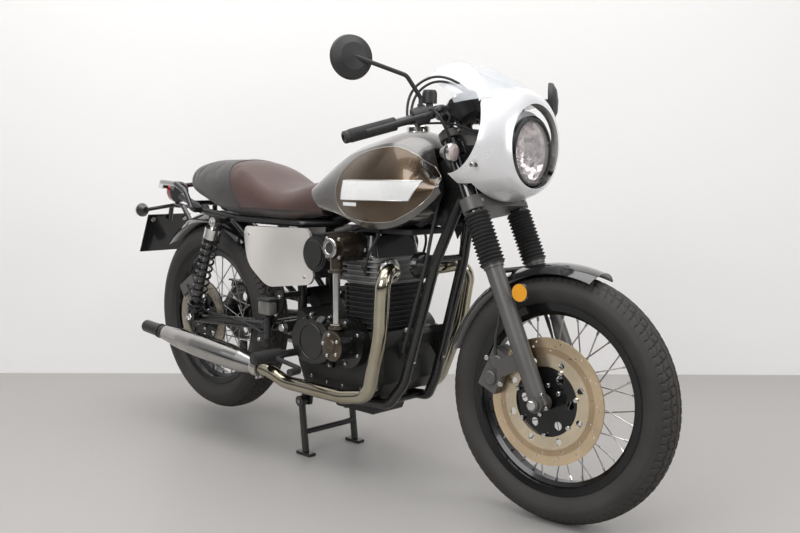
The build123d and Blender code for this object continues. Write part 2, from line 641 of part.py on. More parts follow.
# Shocks: damper with an eye at each end, and its spring as a ribbed sleeve
damper_low = Vector(shock_low[0], shock_y, shock_low[1] - 8)
damper_high = Vector(shock_high[0], shock_y, shock_high[1])
damper_way = (damper_high - damper_low).normalized()
damper_length = (damper_high - damper_low).length
damper = rod(damper_low + damper_way * 12, damper_high - damper_way * 12, 11)
damper += rod(damper_low + damper_way * 30, damper_low + damper_way * 42, 30)
damper += rod(damper_high - damper_way * 62, damper_high - damper_way * 22, 28)
for at in (damper_low, damper_high):
    eye = rod(at - Vector(0, 11, 0), at + Vector(0, 11, 0), 17)
    damper += eye
for at in (damper_low, damper_high):
    damper -= rod(at - Vector(0, 13, 0), at + Vector(0, 13, 0), 8 + pin_gap)
keep("shock_dampers", both(damper))
spring_length = damper_length - 62 - 42 - 2 * running_gap
turns = 11
outline = [(18, 0)]
for n in range(turns):
    outline += [(22, spring_length * n / turns), (29, spring_length * (n + 0.5) / turns)]
outline += [(22, spring_length), (18, spring_length)]
spring = turned(outline, damper_low + damper_way * (42 + running_gap), damper_way)
keep("shock_springs", both(spring))

# Chain: outer links over a roller band, in one loop
front_sprocket = Vector(600, chain_y, 396)
rear_sprocket_at = Vector(0, chain_y, rear_axle.Z)
centre_distance = hypot(front_sprocket.X, front_sprocket.Z - rear_axle.Z)
line_angle = atan2(front_sprocket.Z - rear_axle.Z, front_sprocket.X)
tilt = atan2(rear_sprocket_radius - front_sprocket_radius, centre_distance)
run = (centre_distance**2 - (rear_sprocket_radius - front_sprocket_radius) ** 2) ** 0.5
rear_wrap = pi + 2 * tilt
front_wrap = pi - 2 * tilt
loop_length = 2 * run + rear_wrap * rear_sprocket_radius + front_wrap * front_sprocket_radius
link_pairs = round(loop_length / chain_pitch / 2)


def chain_place(travel):
    """Place and heading along the loop, from the top run's rear end."""
    top_angle = line_angle - tilt + pi / 2
    if travel < run:
        foot = Vector(rear_sprocket_radius * cos(top_angle), 0, rear_sprocket_radius * sin(top_angle))
        way = top_angle - pi / 2
        return rear_sprocket_at + foot + Vector(cos(way), 0, sin(way)) * travel, way
    travel -= run
    if travel < front_wrap * front_sprocket_radius:
        angle = top_angle - travel / front_sprocket_radius
        spot = front_sprocket + Vector(cos(angle), 0, sin(angle)) * front_sprocket_radius
        return spot, angle - pi / 2
    travel -= front_wrap * front_sprocket_radius
    low_angle = top_angle - front_wrap
    if travel < run:
        foot = Vector(cos(low_angle), 0, sin(low_angle)) * front_sprocket_radius
        way = low_angle - pi / 2
        return front_sprocket + foot + Vector(cos(way), 0, sin(way)) * travel, way
    travel -= run
    angle = low_angle - travel / rear_sprocket_radius
    spot = rear_sprocket_at + Vector(cos(angle), 0, sin(angle)) * rear_sprocket_radius
    return spot, angle - pi / 2


def chain_band(half_height, y_low, y_high):
    """The closed loop's outline, as thick as asked."""
    shapes = []
    for offset in (half_height, -half_height):
        circles = Pos(0, 0) * Circle(rear_sprocket_radius + offset)
        front_at = Pos(centre_distance, 0)
        front = front_at * Circle(front_sprocket_radius + offset)
        shapes.append(make_hull((circles + front).edges()))
    ring = extrude(shapes[0] - shapes[1], y_high - y_low)
    base = Plane(
        origin=(0, y_high, rear_axle.Z), x_dir=(cos(line_angle), 0, sin(line_angle)), z_dir=(0, -1, 0)
    )
    return base * ring


chain = chain_band(4.0, chain_y - 5.0, chain_y + 5.0)
link_length = loop_length / link_pairs / 2
for n in range(link_pairs):
    spot, way = chain_place(link_length * 2 * n)
    link = Box(link_length + 8, 14.2, 12.0)
    chain += Pos(spot.X, chain_y, spot.Z) * Rot(0, -degrees(way), 0) * link
keep("chain", chain)

# Engine: crankcase, side covers, finned barrel block, head and cam cover
case_outline = [(600, 250), (650, 236), (905, 240), (950, 285), (944, 388), (918, barrel_base - 2), (640, barrel_base), (566, 470), (548, 380)]
crankcase = plate(case_outline, -case_half_width, case_half_width, 10)
crankcase += plate([(925, 392), (976, 434), (990, 422), (982, 394), (940, 340)], -52, 52, 4)
crankcase += plate([(580, 470), (560, 436), (504, lug_height - 14), (504, lug_height + 14), (532, lug_height + 20)], -34, 34, 4)
crankcase += plate([(640, 240), (880, 242), (850, 168), (680, 168)], -58, 58, 14)
pocket_y = chain_y - 12
crankcase -= rod((front_sprocket.X, pocket_y, front_sprocket.Z), (front_sprocket.X, 200, front_sprocket.Z), 56)
crankcase -= plate([(500, 340), (600, 340), (600, 452), (500, 480)], pocket_y, 200)
crankcase += rod((front_sprocket.X, pocket_y - 5, front_sprocket.Z), (front_sprocket.X, chain_y + 9, front_sprocket.Z), 13)
crankcase += rod((front_sprocket.X, chain_y - 3, front_sprocket.Z), (front_sprocket.X, chain_y + 3, front_sprocket.Z), front_sprocket_radius - 7.0)
crankcase -= rod((pivot_station, -60, lug_height), (pivot_station, 60, lug_height), 12 + running_gap)
keep("crankcase", crankcase)

clutch_outline = Plane(origin=(688, -case_half_width - running_gap, 382), x_dir=(1, 0, 0), z_dir=(0, -1, 0))
clutch_cover = clutch_outline * extrude(SlotOverall(188, 142), 52, taper=6)
bevel_low = rod((crank_station, -case_half_width - running_gap, crank_height), (crank_station, bevel_y - 18, crank_height), 46)
bevel_low += rod((crank_station, -case_half_width - running_gap, crank_height), (crank_station, -146, crank_height), 72)
generator_cover = rod((crank_station, case_half_width + running_gap, crank_height), (crank_station, 168, crank_height), 72)
sprocket_cover = plate([(546, 340), (690, 320), (700, 440), (560, 452)], case_half_width + running_gap, 142, 22)
right_covers = clutch_cover + bevel_low
keep("engine_covers", right_covers, generator_cover + sprocket_cover)

fin_thickness = 3.2
fin_depth = 13.0
barrel_length = 156.0
barrel_width = 226.0
barrel_fins = 9


def finned_block(low, high, fins, length, width, corner):
    core = Pos(cylinder_station, 0, low) * extrude(
        RectangleRounded(length - 2 * fin_depth, width - 2 * fin_depth, corner), high - low
    )
    step = (high - low - fin_thickness) / fins
    for n in range(fins):
        fin = extrude(RectangleRounded(length, width, corner + fin_depth), fin_thickness)
        core += Pos(cylinder_station, 0, low + (n + 0.5) * step) * fin
    return core


keep("cylinder_block", finned_block(barrel_base + running_gap, barrel_top, barrel_fins, barrel_length, barrel_width, 22))
keep("cylinder_head", finned_block(barrel_top + running_gap, head_top, 5, barrel_length + 14, barrel_width + 4, 24))
cover_outline = Pos(cylinder_station - 6, 0, head_top + running_gap) * extrude(
    RectangleRounded(118, 208, 30), cover_top - head_top, taper=12
)
cam_ends = rod((crank_station, -barrel_width / 2 - 2, cam_height), (crank_station, barrel_width / 2 + 2, cam_height), 40)
below_cover = Pos(crank_station, 0, head_top + running_gap - 50) * Box(200, 300, 100)
keep("cam_cover", cover_outline + (cam_ends - below_cover))

# Shaft tower on the right: tube, lower and upper bevel housings and the round cap
tower = rod((crank_station, bevel_y, crank_height + 47), (crank_station, bevel_y, cam_height - 40), 10.5)
tower += rod((crank_station, bevel_y, crank_height + 46.3), (crank_station, bevel_y, crank_height + 62), 19)
tower += rod((crank_station, bevel_y, cam_height - 62), (crank_station, bevel_y, cam_height - 30), 18)
tower += rod((crank_station, -barrel_width / 2 - 2 - running_gap, cam_height), (crank_station, bevel_y - 12, cam_height), 43)
tower += rod((crank_station, bevel_y - 12, cam_height), (crank_station, bevel_y - 24, cam_height), 28)
keep("cam_drive_tower", tower)

# Intakes behind the head, with the airbox behind them
intake_cap = (678.0, 641.0)
intake_cap_radius = 53.0
intakes = []
for sign in (1, -1):
    port = rod((cylinder_station - 85.3, sign * 60, 606), (728, sign * 60, 606), 27)
    slope = rod((732, sign * 60, 606), (652, sign * 60, 638), 26)
    mouth = rod((658, sign * 60, 638), (643.3, sign * 60, 638), 27)
    can = rod((intake_cap[0], sign * (airbox_half + 0.5), intake_cap[1]), (intake_cap[0], sign * 140, intake_cap[1]), intake_cap_radius)
    can += rod((intake_cap[0], sign * 139, intake_cap[1]), (intake_cap[0], sign * 150, intake_cap[1]), intake_cap_radius - 12)
    intakes.append(port + slope + mouth + can)
keep("intakes", intakes)
keep("airbox", plate([(535.3, 560), (643, 560), (643, 672), (620, 690), (535.3, 690)], -airbox_half, airbox_half, 12))

# Exhaust: headers bow out past the cradle, then run low to tapered silencers
silencer_start = Vector(462, -184, 272)
silencer_tip = Vector(-178, -205, 329)
silencer_way = (silencer_tip - silencer_start).normalized()
silencer_length = (silencer_tip - silencer_start).length
header_points = (
    (921.3, -86, 606), (966, -86, 606), (1012, -180, 622), (986, -168, 440), (916, -147, 252), (822, -160, 236), (570, -168, 240),
)
header_run = [Vector(*p) for p in header_points] + [silencer_start - silencer_way * 48, silencer_start]
header = tube(header_run, header_radius, [50, 46, 200, 62, 120, 100, 80])
header += rod((921.3, -86, 606), (935, -86, 606), 29)
keep("exhaust_headers", both(header))
silencer = turned(
    [
        (0, 0.3), (24, 0.3), (27, 30), (silencer_radius - 2, 90), (silencer_radius, 160), (silencer_radius, 330),
        (silencer_radius - 4, 420), (26, 520), (23, 524), (22, silencer_length), (18, silencer_length), (18, 560), (0, 560),
    ],
    silencer_start, silencer_way,
)
keep("silencers", both(silencer))

# Fuel tank: lofted body over a tunnel for the backbone, cut to meet the seat
tank_rows = (
    (585, 796, 72, 800, 84, 824, 58, 850, 858),
    (700, 766, 108, 770, 122, 815, 84, 893, 912),
    (840, 734, 126, 738, 142, 808, 100, 945, 976),
    (985, 729, 126, 733, 144, 812, 100, 964, 1001),
    (1058, 760, 110, 764, 124, 838, 88, 930, 958),
    (1084, 782, 98, 786, 108, 848, 80, 898, 916),
    (1126, 824, 74, 828, 82, 860, 58, 868, 874),
)
tank = body(tank_rows)
tunnel = plate([(540, 690), (540, 744), (1040, 912), (1090, 990), (1180, 990), (1180, 690)], -36, 36)
behind_joint = plate([(500, 985.5), (690, 740), (400, 740), (400, 985.5)], -200, 200)
nose_plan = make_face(Polyline((1062, -36), (1062, 36), (1134, 72), (1134, -72), close=True))
tank = tank - tunnel - behind_joint - Pos(0, 0, 690) * extrude(nose_plan, 320)
backbone_low, backbone_high = Vector(600, 0, 728), backbone_front
tank += rod((694, 0, 764), (694, 0, 812), 14) - rod(backbone_low, backbone_high, 24 + running_gap)
tank_body = max(tank.solids(), key=lambda s: s.volume)
keep("fuel_tank", tank_body)
cap_base = Vector(968, 0, 998)
keep("fuel_cap", turned([(0, -8), (34, -8), (34, 12), (30, 17), (0, 18)], cap_base, (-0.06, 0, 1)) - tank_body)

# Seat: one padded form from the tank to the tail hump
seat_rows = (
    (-118, 840, 34, 843, 42, 856, 28, 868, 872),
    (-60, 800, 74, 814, 86, 850, 66, 890, 901),
    (60, 764, 106, 788, 128, 830, 94, 900, 918),
    (240, 737, 130, 749, 146, 804, 110, 894, 913),
    (345, 734, 130, 747, 144, 790, 112, 862, 879),
    (432, 733, 128, 745, 140, 784, 110, 824, 838),
    (540, 739.5, 116, 745, 128, 782, 98, 824, 838),
    (655, 746, 84, 750, 94, 776, 70, 806, 814),
)
seat = body(seat_rows)
ahead_of_joint = plate([(498.5, 985.5), (688.5, 740), (900, 740), (900, 985.5)], -200, 200)
seat = seat - ahead_of_joint - rod((560, 0, 737), (800, 0, 790), 40)
seat_body = max(seat.solids(), key=lambda s: s.volume)
for station, rail_top, side in ((400, 738.4, 98), (150, 749.4, 102)):
    for sign in (1, -1):
        seat_body = seat_body + rod((station, sign * side, rail_top), (station, sign * side, rail_top + 24), 11)
keep("seat", seat_body)

# Side covers: crowned shells below the seat, cut round in front for the intake cap
cover_inner_y = 118.5
cover_peak_y = 152.0
cover_crown_radius = 660.0
# station, height, corner radius
cover_rows = ((301, 708, 24), (640, 715, 30), (657, 546, 34), (452, 522, 90), (338, 590, 90))
cover_edge = FilletPolyline(*[(x, 0, z) for x, z, r in cover_rows], radius=[r for x, z, r in cover_rows], close=True)
side_cover = Pos(0, cover_inner_y, 0) * extrude(make_face(cover_edge), 60, dir=(0, 1, 0))
side_cover -= rod((intake_cap[0], 100, intake_cap[1]), (intake_cap[0], 200, intake_cap[1]), intake_cap_radius + 5)
side_cover = side_cover & (Pos(480, cover_peak_y - cover_crown_radius, 625) * Sphere(cover_crown_radius))
side_cover += rod((565, airbox_half + running_gap, 630), (565, 128, 630), 9)
keep("side_covers", both(side_cover))

# Rear fender with a lamp bracket, tail light and plate holder
rear_fender_inner = 374.0
at_plate = Pos(-380, 0, 646) * Rot(0, degrees(atan2(65, 137)), 0)
plate_holder = at_plate * Pos(3.8, 0, 2) * Box(3, 184, 158)
holder_arm = tube([Vector(-194, 0, 692), Vector(-250, 0, 752), Vector(-325.5, 0, 752), Vector(-340.1, 0, 694.6)], 9, [24, 20])
rear_fender = at_rear * fender(rear_fender_inner, 76.0, 40.0, 52.0, 138.0)
rear_fender += rod((-40, 0, 741), (-40, 0, 760.7), 9)
rear_fender += rod((shock_high[0], 0, 694), (shock_high[0], 0, shock_high[1] - 8.3), 9)
keep("rear_fender", rear_fender + (holder_arm + plate_holder))
keep("number_plate", at_plate * Box(4, 176, 150))
tail_light = turned([(0, 0), (34, 0), (40, 8), (40, 30), (34, 44), (0, 50)], (-262, 0, 801), (-1, 0, 0.12))
keep("tail_light", tail_light + rod((-286, 0, 761.3), (-286, 0, 775), 10))
for sign in (1, -1):
    head = turned(signal_outline, (-312, sign * 132, 738), (-1, 0, 0))
    stalk = rod((-312, sign * 120, 738), (-306, sign * 9.4, 752), 7)
    keep("rear_signals", head + stalk)
grab_row = ((40, 116.3, 750), (40, 147, 750), (0, 147, 812), (-60, 147, 838), (-210, 110, 842), (-322, 50, 824))
rail_points = [Vector(*p) for p in grab_row] + [Vector(x, -y, z) for x, y, z in reversed(grab_row)]
keep("grab_rail", tube(rail_points, 9, [16, 24, 26, 60, 30, 30, 60, 26, 24, 16]))

# Horn in front of the engine
horn = turned([(0, 0), (34, 0), (38, 6), (38, 16), (30, 26), (0, 28)], (998, -24, 622), (1, -0.25, 0.1))
keep("horn", horn + rod((1008, -24, 650), (1082.7, -24, 650), 5))

# Centre stand: two legs with feet, a crossbar and a foot tang
stand = None
leg_top_point = Vector(stand_pivot_station, stand_half_width, stand_pivot_height)
leg_foot_point = Vector(stand_foot_station, stand_half_width, 11)
for sign in (1, -1):
    top = Vector(leg_top_point.X, sign * leg_top_point.Y, leg_top_point.Z)
    foot = Vector(leg_foot_point.X, sign * leg_foot_point.Y, leg_foot_point.Z)
    leg = rod(top, foot, 11) + rod(top - Vector(0, 11, 0), top + Vector(0, 11, 0), 17)
    leg += Pos(foot.X, foot.Y, 5) * Box(64, 26, 10)
    stand = leg if stand is None else stand + leg
stand += rod((582, -stand_half_width, 72), (582, stand_half_width, 72), 9)
stand -= rod((stand_pivot_station, -200, stand_pivot_height), (stand_pivot_station, 200, stand_pivot_height), 7 + pin_gap)
keep("centre_stand", stand)
for sign in (1, -1):
    pin = rod((stand_pivot_station, sign * 76, stand_pivot_height), (stand_pivot_station, sign * 118, stand_pivot_height), 7)
    keep("pivot_pins", pin)

# Side stand, folded back along the left side
side_foot = Vector(548, 132, 112)
side_stand = rod(side_pivot, side_foot, 8) + rod(side_pivot - side_axis * 9, side_pivot + side_axis * 9, 15)
side_stand -= rod(side_pivot - side_axis * 20, side_pivot + side_axis * 20, 5 + pin_gap)
side_stand += Pos(side_foot.X, side_foot.Y, side_foot.Z) * Rot(0, -26, 0) * Box(54, 34, 8)
keep("side_stand", side_stand)

# Footrests with their rubbers, the gear pedal on the left and the brake pedal on the right
for sign in (1, -1):
    peg = rod((pivot_station, sign * (arm_eye_y + running_gap), peg_height), (pivot_station, sign * 255, peg_height), 12)
    peg += rod((pivot_station, sign * 150, peg_height), (pivot_station, sign * 253, peg_height), 19)
    pedal = [(pivot_station, 112, peg_height), (548, 184, 312), (660, 188, 300), (688, 222, 300)]
    peg += tube([Vector(x, sign * y, z) for x, y, z in pedal], 7, [16, 24])
    peg += rod((684, sign * 210, 300), (690, sign * 250, 300), 11)
    keep("footrests", peg)

steered_nodes = (
    "front_tyre", "front_rim", "front_hub", "front_spokes", "front_disc", "fork_lowers", "front_axle",
    "fork_gaiters", "fork_tubes", "yokes", "front_fender", "handlebar", "grips", "cowl",
    "windscreen", "headlight", "lamp_bracket", "instruments", "front_signals", "mirrors", "hand_controls", "front_caliper",
    "reflectors",
)

low, high = [1e6] * 3, [-1e6] * 3
for name, solids in nodes.items():
    shape = Compound(children=solids) if len(solids) > 1 else solids[0]
    if name in steered_nodes:
        shape = shape.rotate(steering_axis, steer_rest)
    shape = shape.moved(Location((-origin_station, 0, 0)))
    export_step(shape, f"parts/{name}.step")
    reach = shape.bounding_box()
    low, high = [min(low[i], tuple(reach.min)[i]) for i in range(3)], [max(high[i], tuple(reach.max)[i]) for i in range(3)]
print(len(nodes), "nodes from", [round(v, 1) for v in low], "to", [round(v, 1) for v in high])
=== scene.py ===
import random
from math import atan2, cos, pi, radians, sin

import bmesh
import bpy
from mathutils import Matrix, Vector
from mathutils.bvhtree import BVHTree


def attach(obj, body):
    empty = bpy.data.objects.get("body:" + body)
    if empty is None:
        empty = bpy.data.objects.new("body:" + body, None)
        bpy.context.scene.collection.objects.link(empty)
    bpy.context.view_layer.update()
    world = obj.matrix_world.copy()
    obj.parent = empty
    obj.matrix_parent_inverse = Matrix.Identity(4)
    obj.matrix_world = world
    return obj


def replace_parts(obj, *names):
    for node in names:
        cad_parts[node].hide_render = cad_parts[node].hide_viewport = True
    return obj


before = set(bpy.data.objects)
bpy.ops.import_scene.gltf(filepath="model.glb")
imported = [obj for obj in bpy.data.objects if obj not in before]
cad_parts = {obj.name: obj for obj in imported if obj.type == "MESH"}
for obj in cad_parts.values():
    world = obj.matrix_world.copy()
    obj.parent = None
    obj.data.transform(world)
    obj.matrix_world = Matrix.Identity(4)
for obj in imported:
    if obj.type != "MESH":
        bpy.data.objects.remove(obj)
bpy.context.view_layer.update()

scene = bpy.context.scene
scene.view_settings.view_transform = "Standard"


# Studio: the photograph's camera, a plain pale floor and a wall that shows from its front only.
# The camera's place, turn and lens were fitted to the tyres, the front disc and the stand's feet.
def shown(name, data):
    """A new object in the scene for some data."""
    piece = bpy.data.objects.new(name, data)
    scene.collection.objects.link(piece)
    return piece


def added(tree, *kinds, family="ShaderNode"):
    """New nodes of the kinds named, in a tree."""
    return [tree.nodes.new(family + kind) for kind in kinds]


def put(node, values):
    """Sets a node's own inputs by their names."""
    for label, value in values.items():
        node.inputs[label].default_value = value


def wire(tree, *rows):
    """Joins (node, output, node, input) rows."""
    for source, given, target, taken in rows:
        tree.links.new(source.outputs[given], target.inputs[taken])


camera_place = Vector((2.1407, -1.9518, 0.9006))
camera_turn, camera_dip, camera_roll = radians(134.65), radians(6.05), radians(0.15)
camera_data = bpy.data.cameras.new("camera")
camera_data.sensor_width = 36.0
camera_data.lens = 42.516
camera = shown("camera", camera_data)
look = Vector((cos(camera_turn) * cos(camera_dip), sin(camera_turn) * cos(camera_dip), -sin(camera_dip)))
side = look.cross(Vector((0, 0, 1))).normalized()
above = side.cross(look)
rolled_side = side * cos(camera_roll) + above * sin(camera_roll)
rolled_up = above * cos(camera_roll) - side * sin(camera_roll)
camera.matrix_world = Matrix.Translation(camera_place) @ Matrix(
    (rolled_side, rolled_up, -look)).transposed().to_4x4()
scene.camera = camera

floor_size, wall_distance, wall_height = 14.0, 4.05, 7.0


def studio_sheet(name, corners, colour, roughness):
    """A flat sheet of one plain colour, and its node tree."""
    mesh = bpy.data.meshes.new(name)
    mesh.from_pydata(corners, [], [(0, 1, 2, 3)])
    paint = bpy.data.materials.new(name)
    paint.use_nodes = True
    put(paint.node_tree.nodes["Principled BSDF"], {"Base Color": (*colour, 1), "Roughness": roughness})
    mesh.materials.append(paint)
    return shown(name, mesh), paint.node_tree


floor_corners = [Vector((x, y, 0)) * floor_size for x, y in ((-1, -1), (1, -1), (1, 1), (-1, 1))]
floor = studio_sheet("floor", floor_corners, (0.37, 0.357, 0.340), 0.45)[0]
level_look = Vector((look.x, look.y, 0)).normalized()
half_wall = Vector((level_look.y, -level_look.x, 0)) * floor_size
wall_foot = Vector((camera_place.x, camera_place.y, 0)) + level_look * wall_distance
wall_top = wall_foot + Vector((0, 0, wall_height))
wall_corners = [wall_foot - half_wall, wall_foot + half_wall, wall_top + half_wall, wall_top - half_wall]
wall, wall_tree = studio_sheet("wall", wall_corners, (0.90, 0.885, 0.87), 0.9)
geometry, clear, mix = added(wall_tree, "NewGeometry", "BsdfTransparent", "MixShader")
wire(wall_tree, (geometry, "Backfacing", mix, "Fac"), (wall_tree.nodes["Principled BSDF"], "BSDF", mix, 1),
     (clear, "BSDF", mix, 2), (mix, "Shader", wall_tree.nodes["Material Output"], "Surface"))

# Light: a wide soft ceiling panel, a key panel from the camera's left and a low fill from its right,
# under a sky that is dark at the horizon in reflections and pale where the camera sees it.
# Each lamp: place, aim, size, power.
lamp_rows = {
    "ceiling_lamp": ((0.2, -0.4, 3.4), (0.0, 0.0, 0.4), (4.2, 3.0), 92),
    "key_lamp": ((0.9, -3.6, 2.3), (0.0, 0.0, 0.6), (2.2, 1.6), 60),
    "fill_lamp": ((3.4, 0.9, 1.5), (0.4, 0.0, 0.6), (1.6, 1.6), 26),
}
for name, (place, aim, size, power) in lamp_rows.items():
    lamp = bpy.data.lights.new(name, "AREA")
    lamp.shape = "RECTANGLE"
    lamp.size, lamp.size_y = size
    lamp.energy = power
    holder = shown(name, lamp)
    holder.location = place
    holder.rotation_euler = (Vector(aim) - Vector(place)).to_track_quat("-Z", "Y").to_euler()


def colour_mix(tree, first=None, second=None):
    """A mix of two colours, either of them set here or joined later."""
    mix, = added(tree, "Mix")
    mix.data_type = "RGBA"
    put(mix, {label: (*colour, 1) for label, colour in (("A", first), ("B", second)) if colour})
    return mix


world = bpy.data.worlds.new("soft light")
world.use_nodes = True
sky = world.node_tree
sky_place, sky_parts, sky_ramp, sky_rays = added(sky, "TexCoord", "SeparateXYZ", "ValToRGB", "LightPath")
sky_stops = sky_ramp.color_ramp.elements
sky_stops[0].position, sky_stops[0].color = 0.06, (0.05, 0.05, 0.052, 1)
sky_stops[1].position, sky_stops[1].color = 0.55, (0.95, 0.96, 1.0, 1)
sky_seen = colour_mix(sky, None, (1.0, 0.985, 0.965))
wire(sky, (sky_place, "Generated", sky_parts, "Vector"), (sky_parts, "Z", sky_ramp, "Fac"),
     (sky_rays, "Is Camera Ray", sky_seen, "Factor"), (sky_ramp, "Color", sky_seen, "A"),
     (sky_seen, "Result", sky.nodes["Background"], "Color"))
put(sky.nodes["Background"], {"Strength": 0.75})
scene.world = world


# Frame: steel tube cradle, seat rails and stands, welded and finished in gloss black enamel with faint
# orange peel and a little dust. The swingarm, bars and lamp bracket are the same tube and paint.
def new_group(name, taken, given, family="Shader"):
    """A node group with named inputs and outputs, each a label and a kind of socket."""
    group = bpy.data.node_groups.new(name, family + "NodeTree")
    for way, rows in (("INPUT", taken), ("OUTPUT", given)):
        for label, kind in rows.items():
            group.interface.new_socket(name=label, in_out=way, socket_type="NodeSocket" + kind)
    return group, group.nodes.new("NodeGroupInput"), group.nodes.new("NodeGroupOutput")


# Broad patches of a second shade, with gloss that follows them, and a fine grain.
surface, given, result = new_group("surface variation", {
    "Colour": "Color", "Shade": "Color", "Patch Scale": "Float", "Roughness": "Float", "Spread": "Float",
    "Grain Scale": "Float"}, {"Colour": "Color", "Roughness": "Float", "Height": "Float"})
spot, patches, grain, share, rough = added(surface, "TexCoord", "TexNoise", "TexNoise", "MapRange", "Math")
blend = colour_mix(surface)
put(patches, {"Detail": 6.0})
put(grain, {"Detail": 3.0})
put(share, {"From Min": 0.35, "From Max": 0.68})
rough.operation, rough.use_clamp = "MULTIPLY_ADD", True
wire(surface, (spot, "Object", patches, "Vector"), (spot, "Object", grain, "Vector"),
     (given, "Patch Scale", patches, "Scale"), (given, "Grain Scale", grain, "Scale"),
     (patches, "Fac", share, "Value"), (share, "Result", blend, "Factor"), (given, "Colour", blend, "A"),
     (given, "Shade", blend, "B"), (share, "Result", rough, 0), (given, "Spread", rough, 1),
     (given, "Roughness", rough, 2), (blend, "Result", result, "Colour"),
     (rough, "Value", result, "Roughness"), (grain, "Fac", result, "Height"))


def finish(name, colour, shade, roughness, spread=0.08, patches=8.0, grain=300.0, relief=0.0,
           metal=0.0, coat=0.0):
    """A material that varies in colour, gloss and fine relief."""
    material = bpy.data.materials.new(name)
    material.use_nodes = True
    tree = material.node_tree
    shader = tree.nodes["Principled BSDF"]
    put(shader, {"Metallic": metal, "Coat Weight": coat, "Coat Roughness": 0.05})
    varied, = added(tree, "Group")
    varied.name, varied.node_tree = "varied", surface
    put(varied, {"Colour": (*colour, 1), "Shade": (*shade, 1), "Roughness": roughness, "Spread": spread,
                 "Patch Scale": patches, "Grain Scale": grain})
    wire(tree, (varied, "Colour", shader, "Base Color"), (varied, "Roughness", shader, "Roughness"))
    if relief:
        bump, = added(tree, "Bump")
        put(bump, {"Strength": 1.0, "Distance": relief})
        wire(tree, (varied, "Height", bump, "Height"), (bump, "Normal", shader, "Normal"))
    return material


def dress(material, *names):
    """Gives CAD nodes their finish."""
    for name in names:
        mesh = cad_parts[name].data
        mesh.materials.clear()
        mesh.materials.append(material)


enamel = finish("black enamel", (0.009, 0.009, 0.009), (0.017, 0.017, 0.016), 0.22, 0.12,
                coat=0.3)
dress(enamel, "main_frame", "swingarm", "handlebar", "lamp_bracket")

# Places are given in millimetres: distance forward of the rear axle, to the rider's left, and up.
# The steering stands 4.4 degrees to the left about the axis of its head.
chassis_place = Matrix.Translation((-0.684, 0, 0)) @ Matrix.Scale(0.001, 4)
rake, rest_turn, fork_offset = radians(24.5), radians(4.4), 55.2
along_fork = Vector((-sin(rake), 0, cos(rake)))
ahead_of_fork = Vector((cos(rake), 0, sin(rake)))
front_axle, rear_axle = Vector((1464, 0, 318.6)), Vector((0, 0, 367.6))
steering_foot = front_axle - ahead_of_fork * fork_offset
steering_place = (chassis_place @ Matrix.Translation(steering_foot) @ Matrix.Rotation(rest_turn, 4,
                                                                                      along_fork)
                  @ Matrix.Translation(-steering_foot))
body_places = {"chassis": chassis_place, "rear_wheel": chassis_place, "steering": steering_place,
               "front_wheel": steering_place}
right, left, front, top = (Vector(way) for way in ((0, -1, 0), (0, 1, 0), (1, 0, 0), (0, 0, 1)))
outward = {1: left, -1: right}
sides = {"left": 1, "right": -1}


def fork_point(up, ahead=0.0, side=0.0):
    """A point measured from the front axle, up the fork, ahead of it and to one side."""
    return front_axle + along_fork * up + ahead_of_fork * ahead + left * side


def round_spot(centre, radius, angle):
    """A point on a circle that faces sideways."""
    return Vector(centre) + Vector((radius * cos(angle), 0, radius * sin(angle)))


def sided(point, sign):
    """A point of the left side, or its mirror on the right."""
    return Vector((point[0], sign * point[1], point[2]))


def paired(*rows, way=None):
    """Spots on both sides of the middle plane, facing outward or one given way."""
    return [(sided(row, sign), way or outward[sign]) for row in rows for sign in (1, -1)]


# Forms: turned, round and square-cut solids and bent hoses, each a list of points and one of faces in
# millimetres. A piece is joined from them, turned outward, smoothed and set riding on its body.
def mesh_of(name, shapes, place=None):
    """A closed mesh from (points, faces) shapes."""
    form = bmesh.new()
    for points, faces in shapes:
        corners = [form.verts.new(p) for p in points]
        for face in faces:
            form.faces.new([corners[n] for n in face])
    form.transform(place or Matrix.Identity(4))
    bmesh.ops.recalc_face_normals(form, faces=form.faces)
    mesh = bpy.data.meshes.new(name)
    form.to_mesh(mesh)
    form.free()
    return mesh


def ridden(name, mesh, body, crease):
    """A finished mesh as a piece of a body."""
    mesh.shade_smooth()
    mesh.set_sharp_from_angle(angle=radians(crease))
    piece = shown(name, mesh)
    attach(piece, body)
    return piece


def made(name, shapes, material, body="chassis", crease=35, place=None):
    """One closed piece from shapes in millimetres, riding on a body."""
    mesh = mesh_of(name, shapes, place or body_places[body])
    mesh.materials.append(material)
    return ridden(name, mesh, body, crease)


def lathe(outline, origin=(0, 0, 0), direction=(0, 0, 1), steps=32):
    """A turned shape from (radius, height) rows, stood on a point along a direction."""
    turn = Vector(direction).to_track_quat("Z", "Y").to_matrix()
    points, rings, faces = [], [], []
    for radius, height in outline:
        count = steps if radius else 1
        rings.append(range(len(points), len(points) + count))
        for n in range(count):
            angle = 2 * pi * n / steps
            points.append(Vector(origin) + turn @ Vector((radius * cos(angle), radius * sin(angle), height)))
    if outline[0][0] or outline[-1][0]:
        rings.append(rings[0])
    for low, high in zip(rings, rings[1:]):
        for n in range(steps):
            m = (n + 1) % steps
            corners = (low[n % len(low)], low[m % len(low)], high[m % len(high)], high[n % len(high)])
            face = list(dict.fromkeys(corners))
            if len(face) > 2:
                faces.append(face)
    return points, faces


def rod(start, end, radius, edge=0.6, steps=20):
    """A round bar with softened ends."""
    way = Vector(end) - Vector(start)
    span = way.length
    rows = [(0, 0), (radius - edge, 0), (radius, edge), (radius, span - edge), (radius - edge, span),
            (0, span)]
    return lathe(rows, start, way, steps)


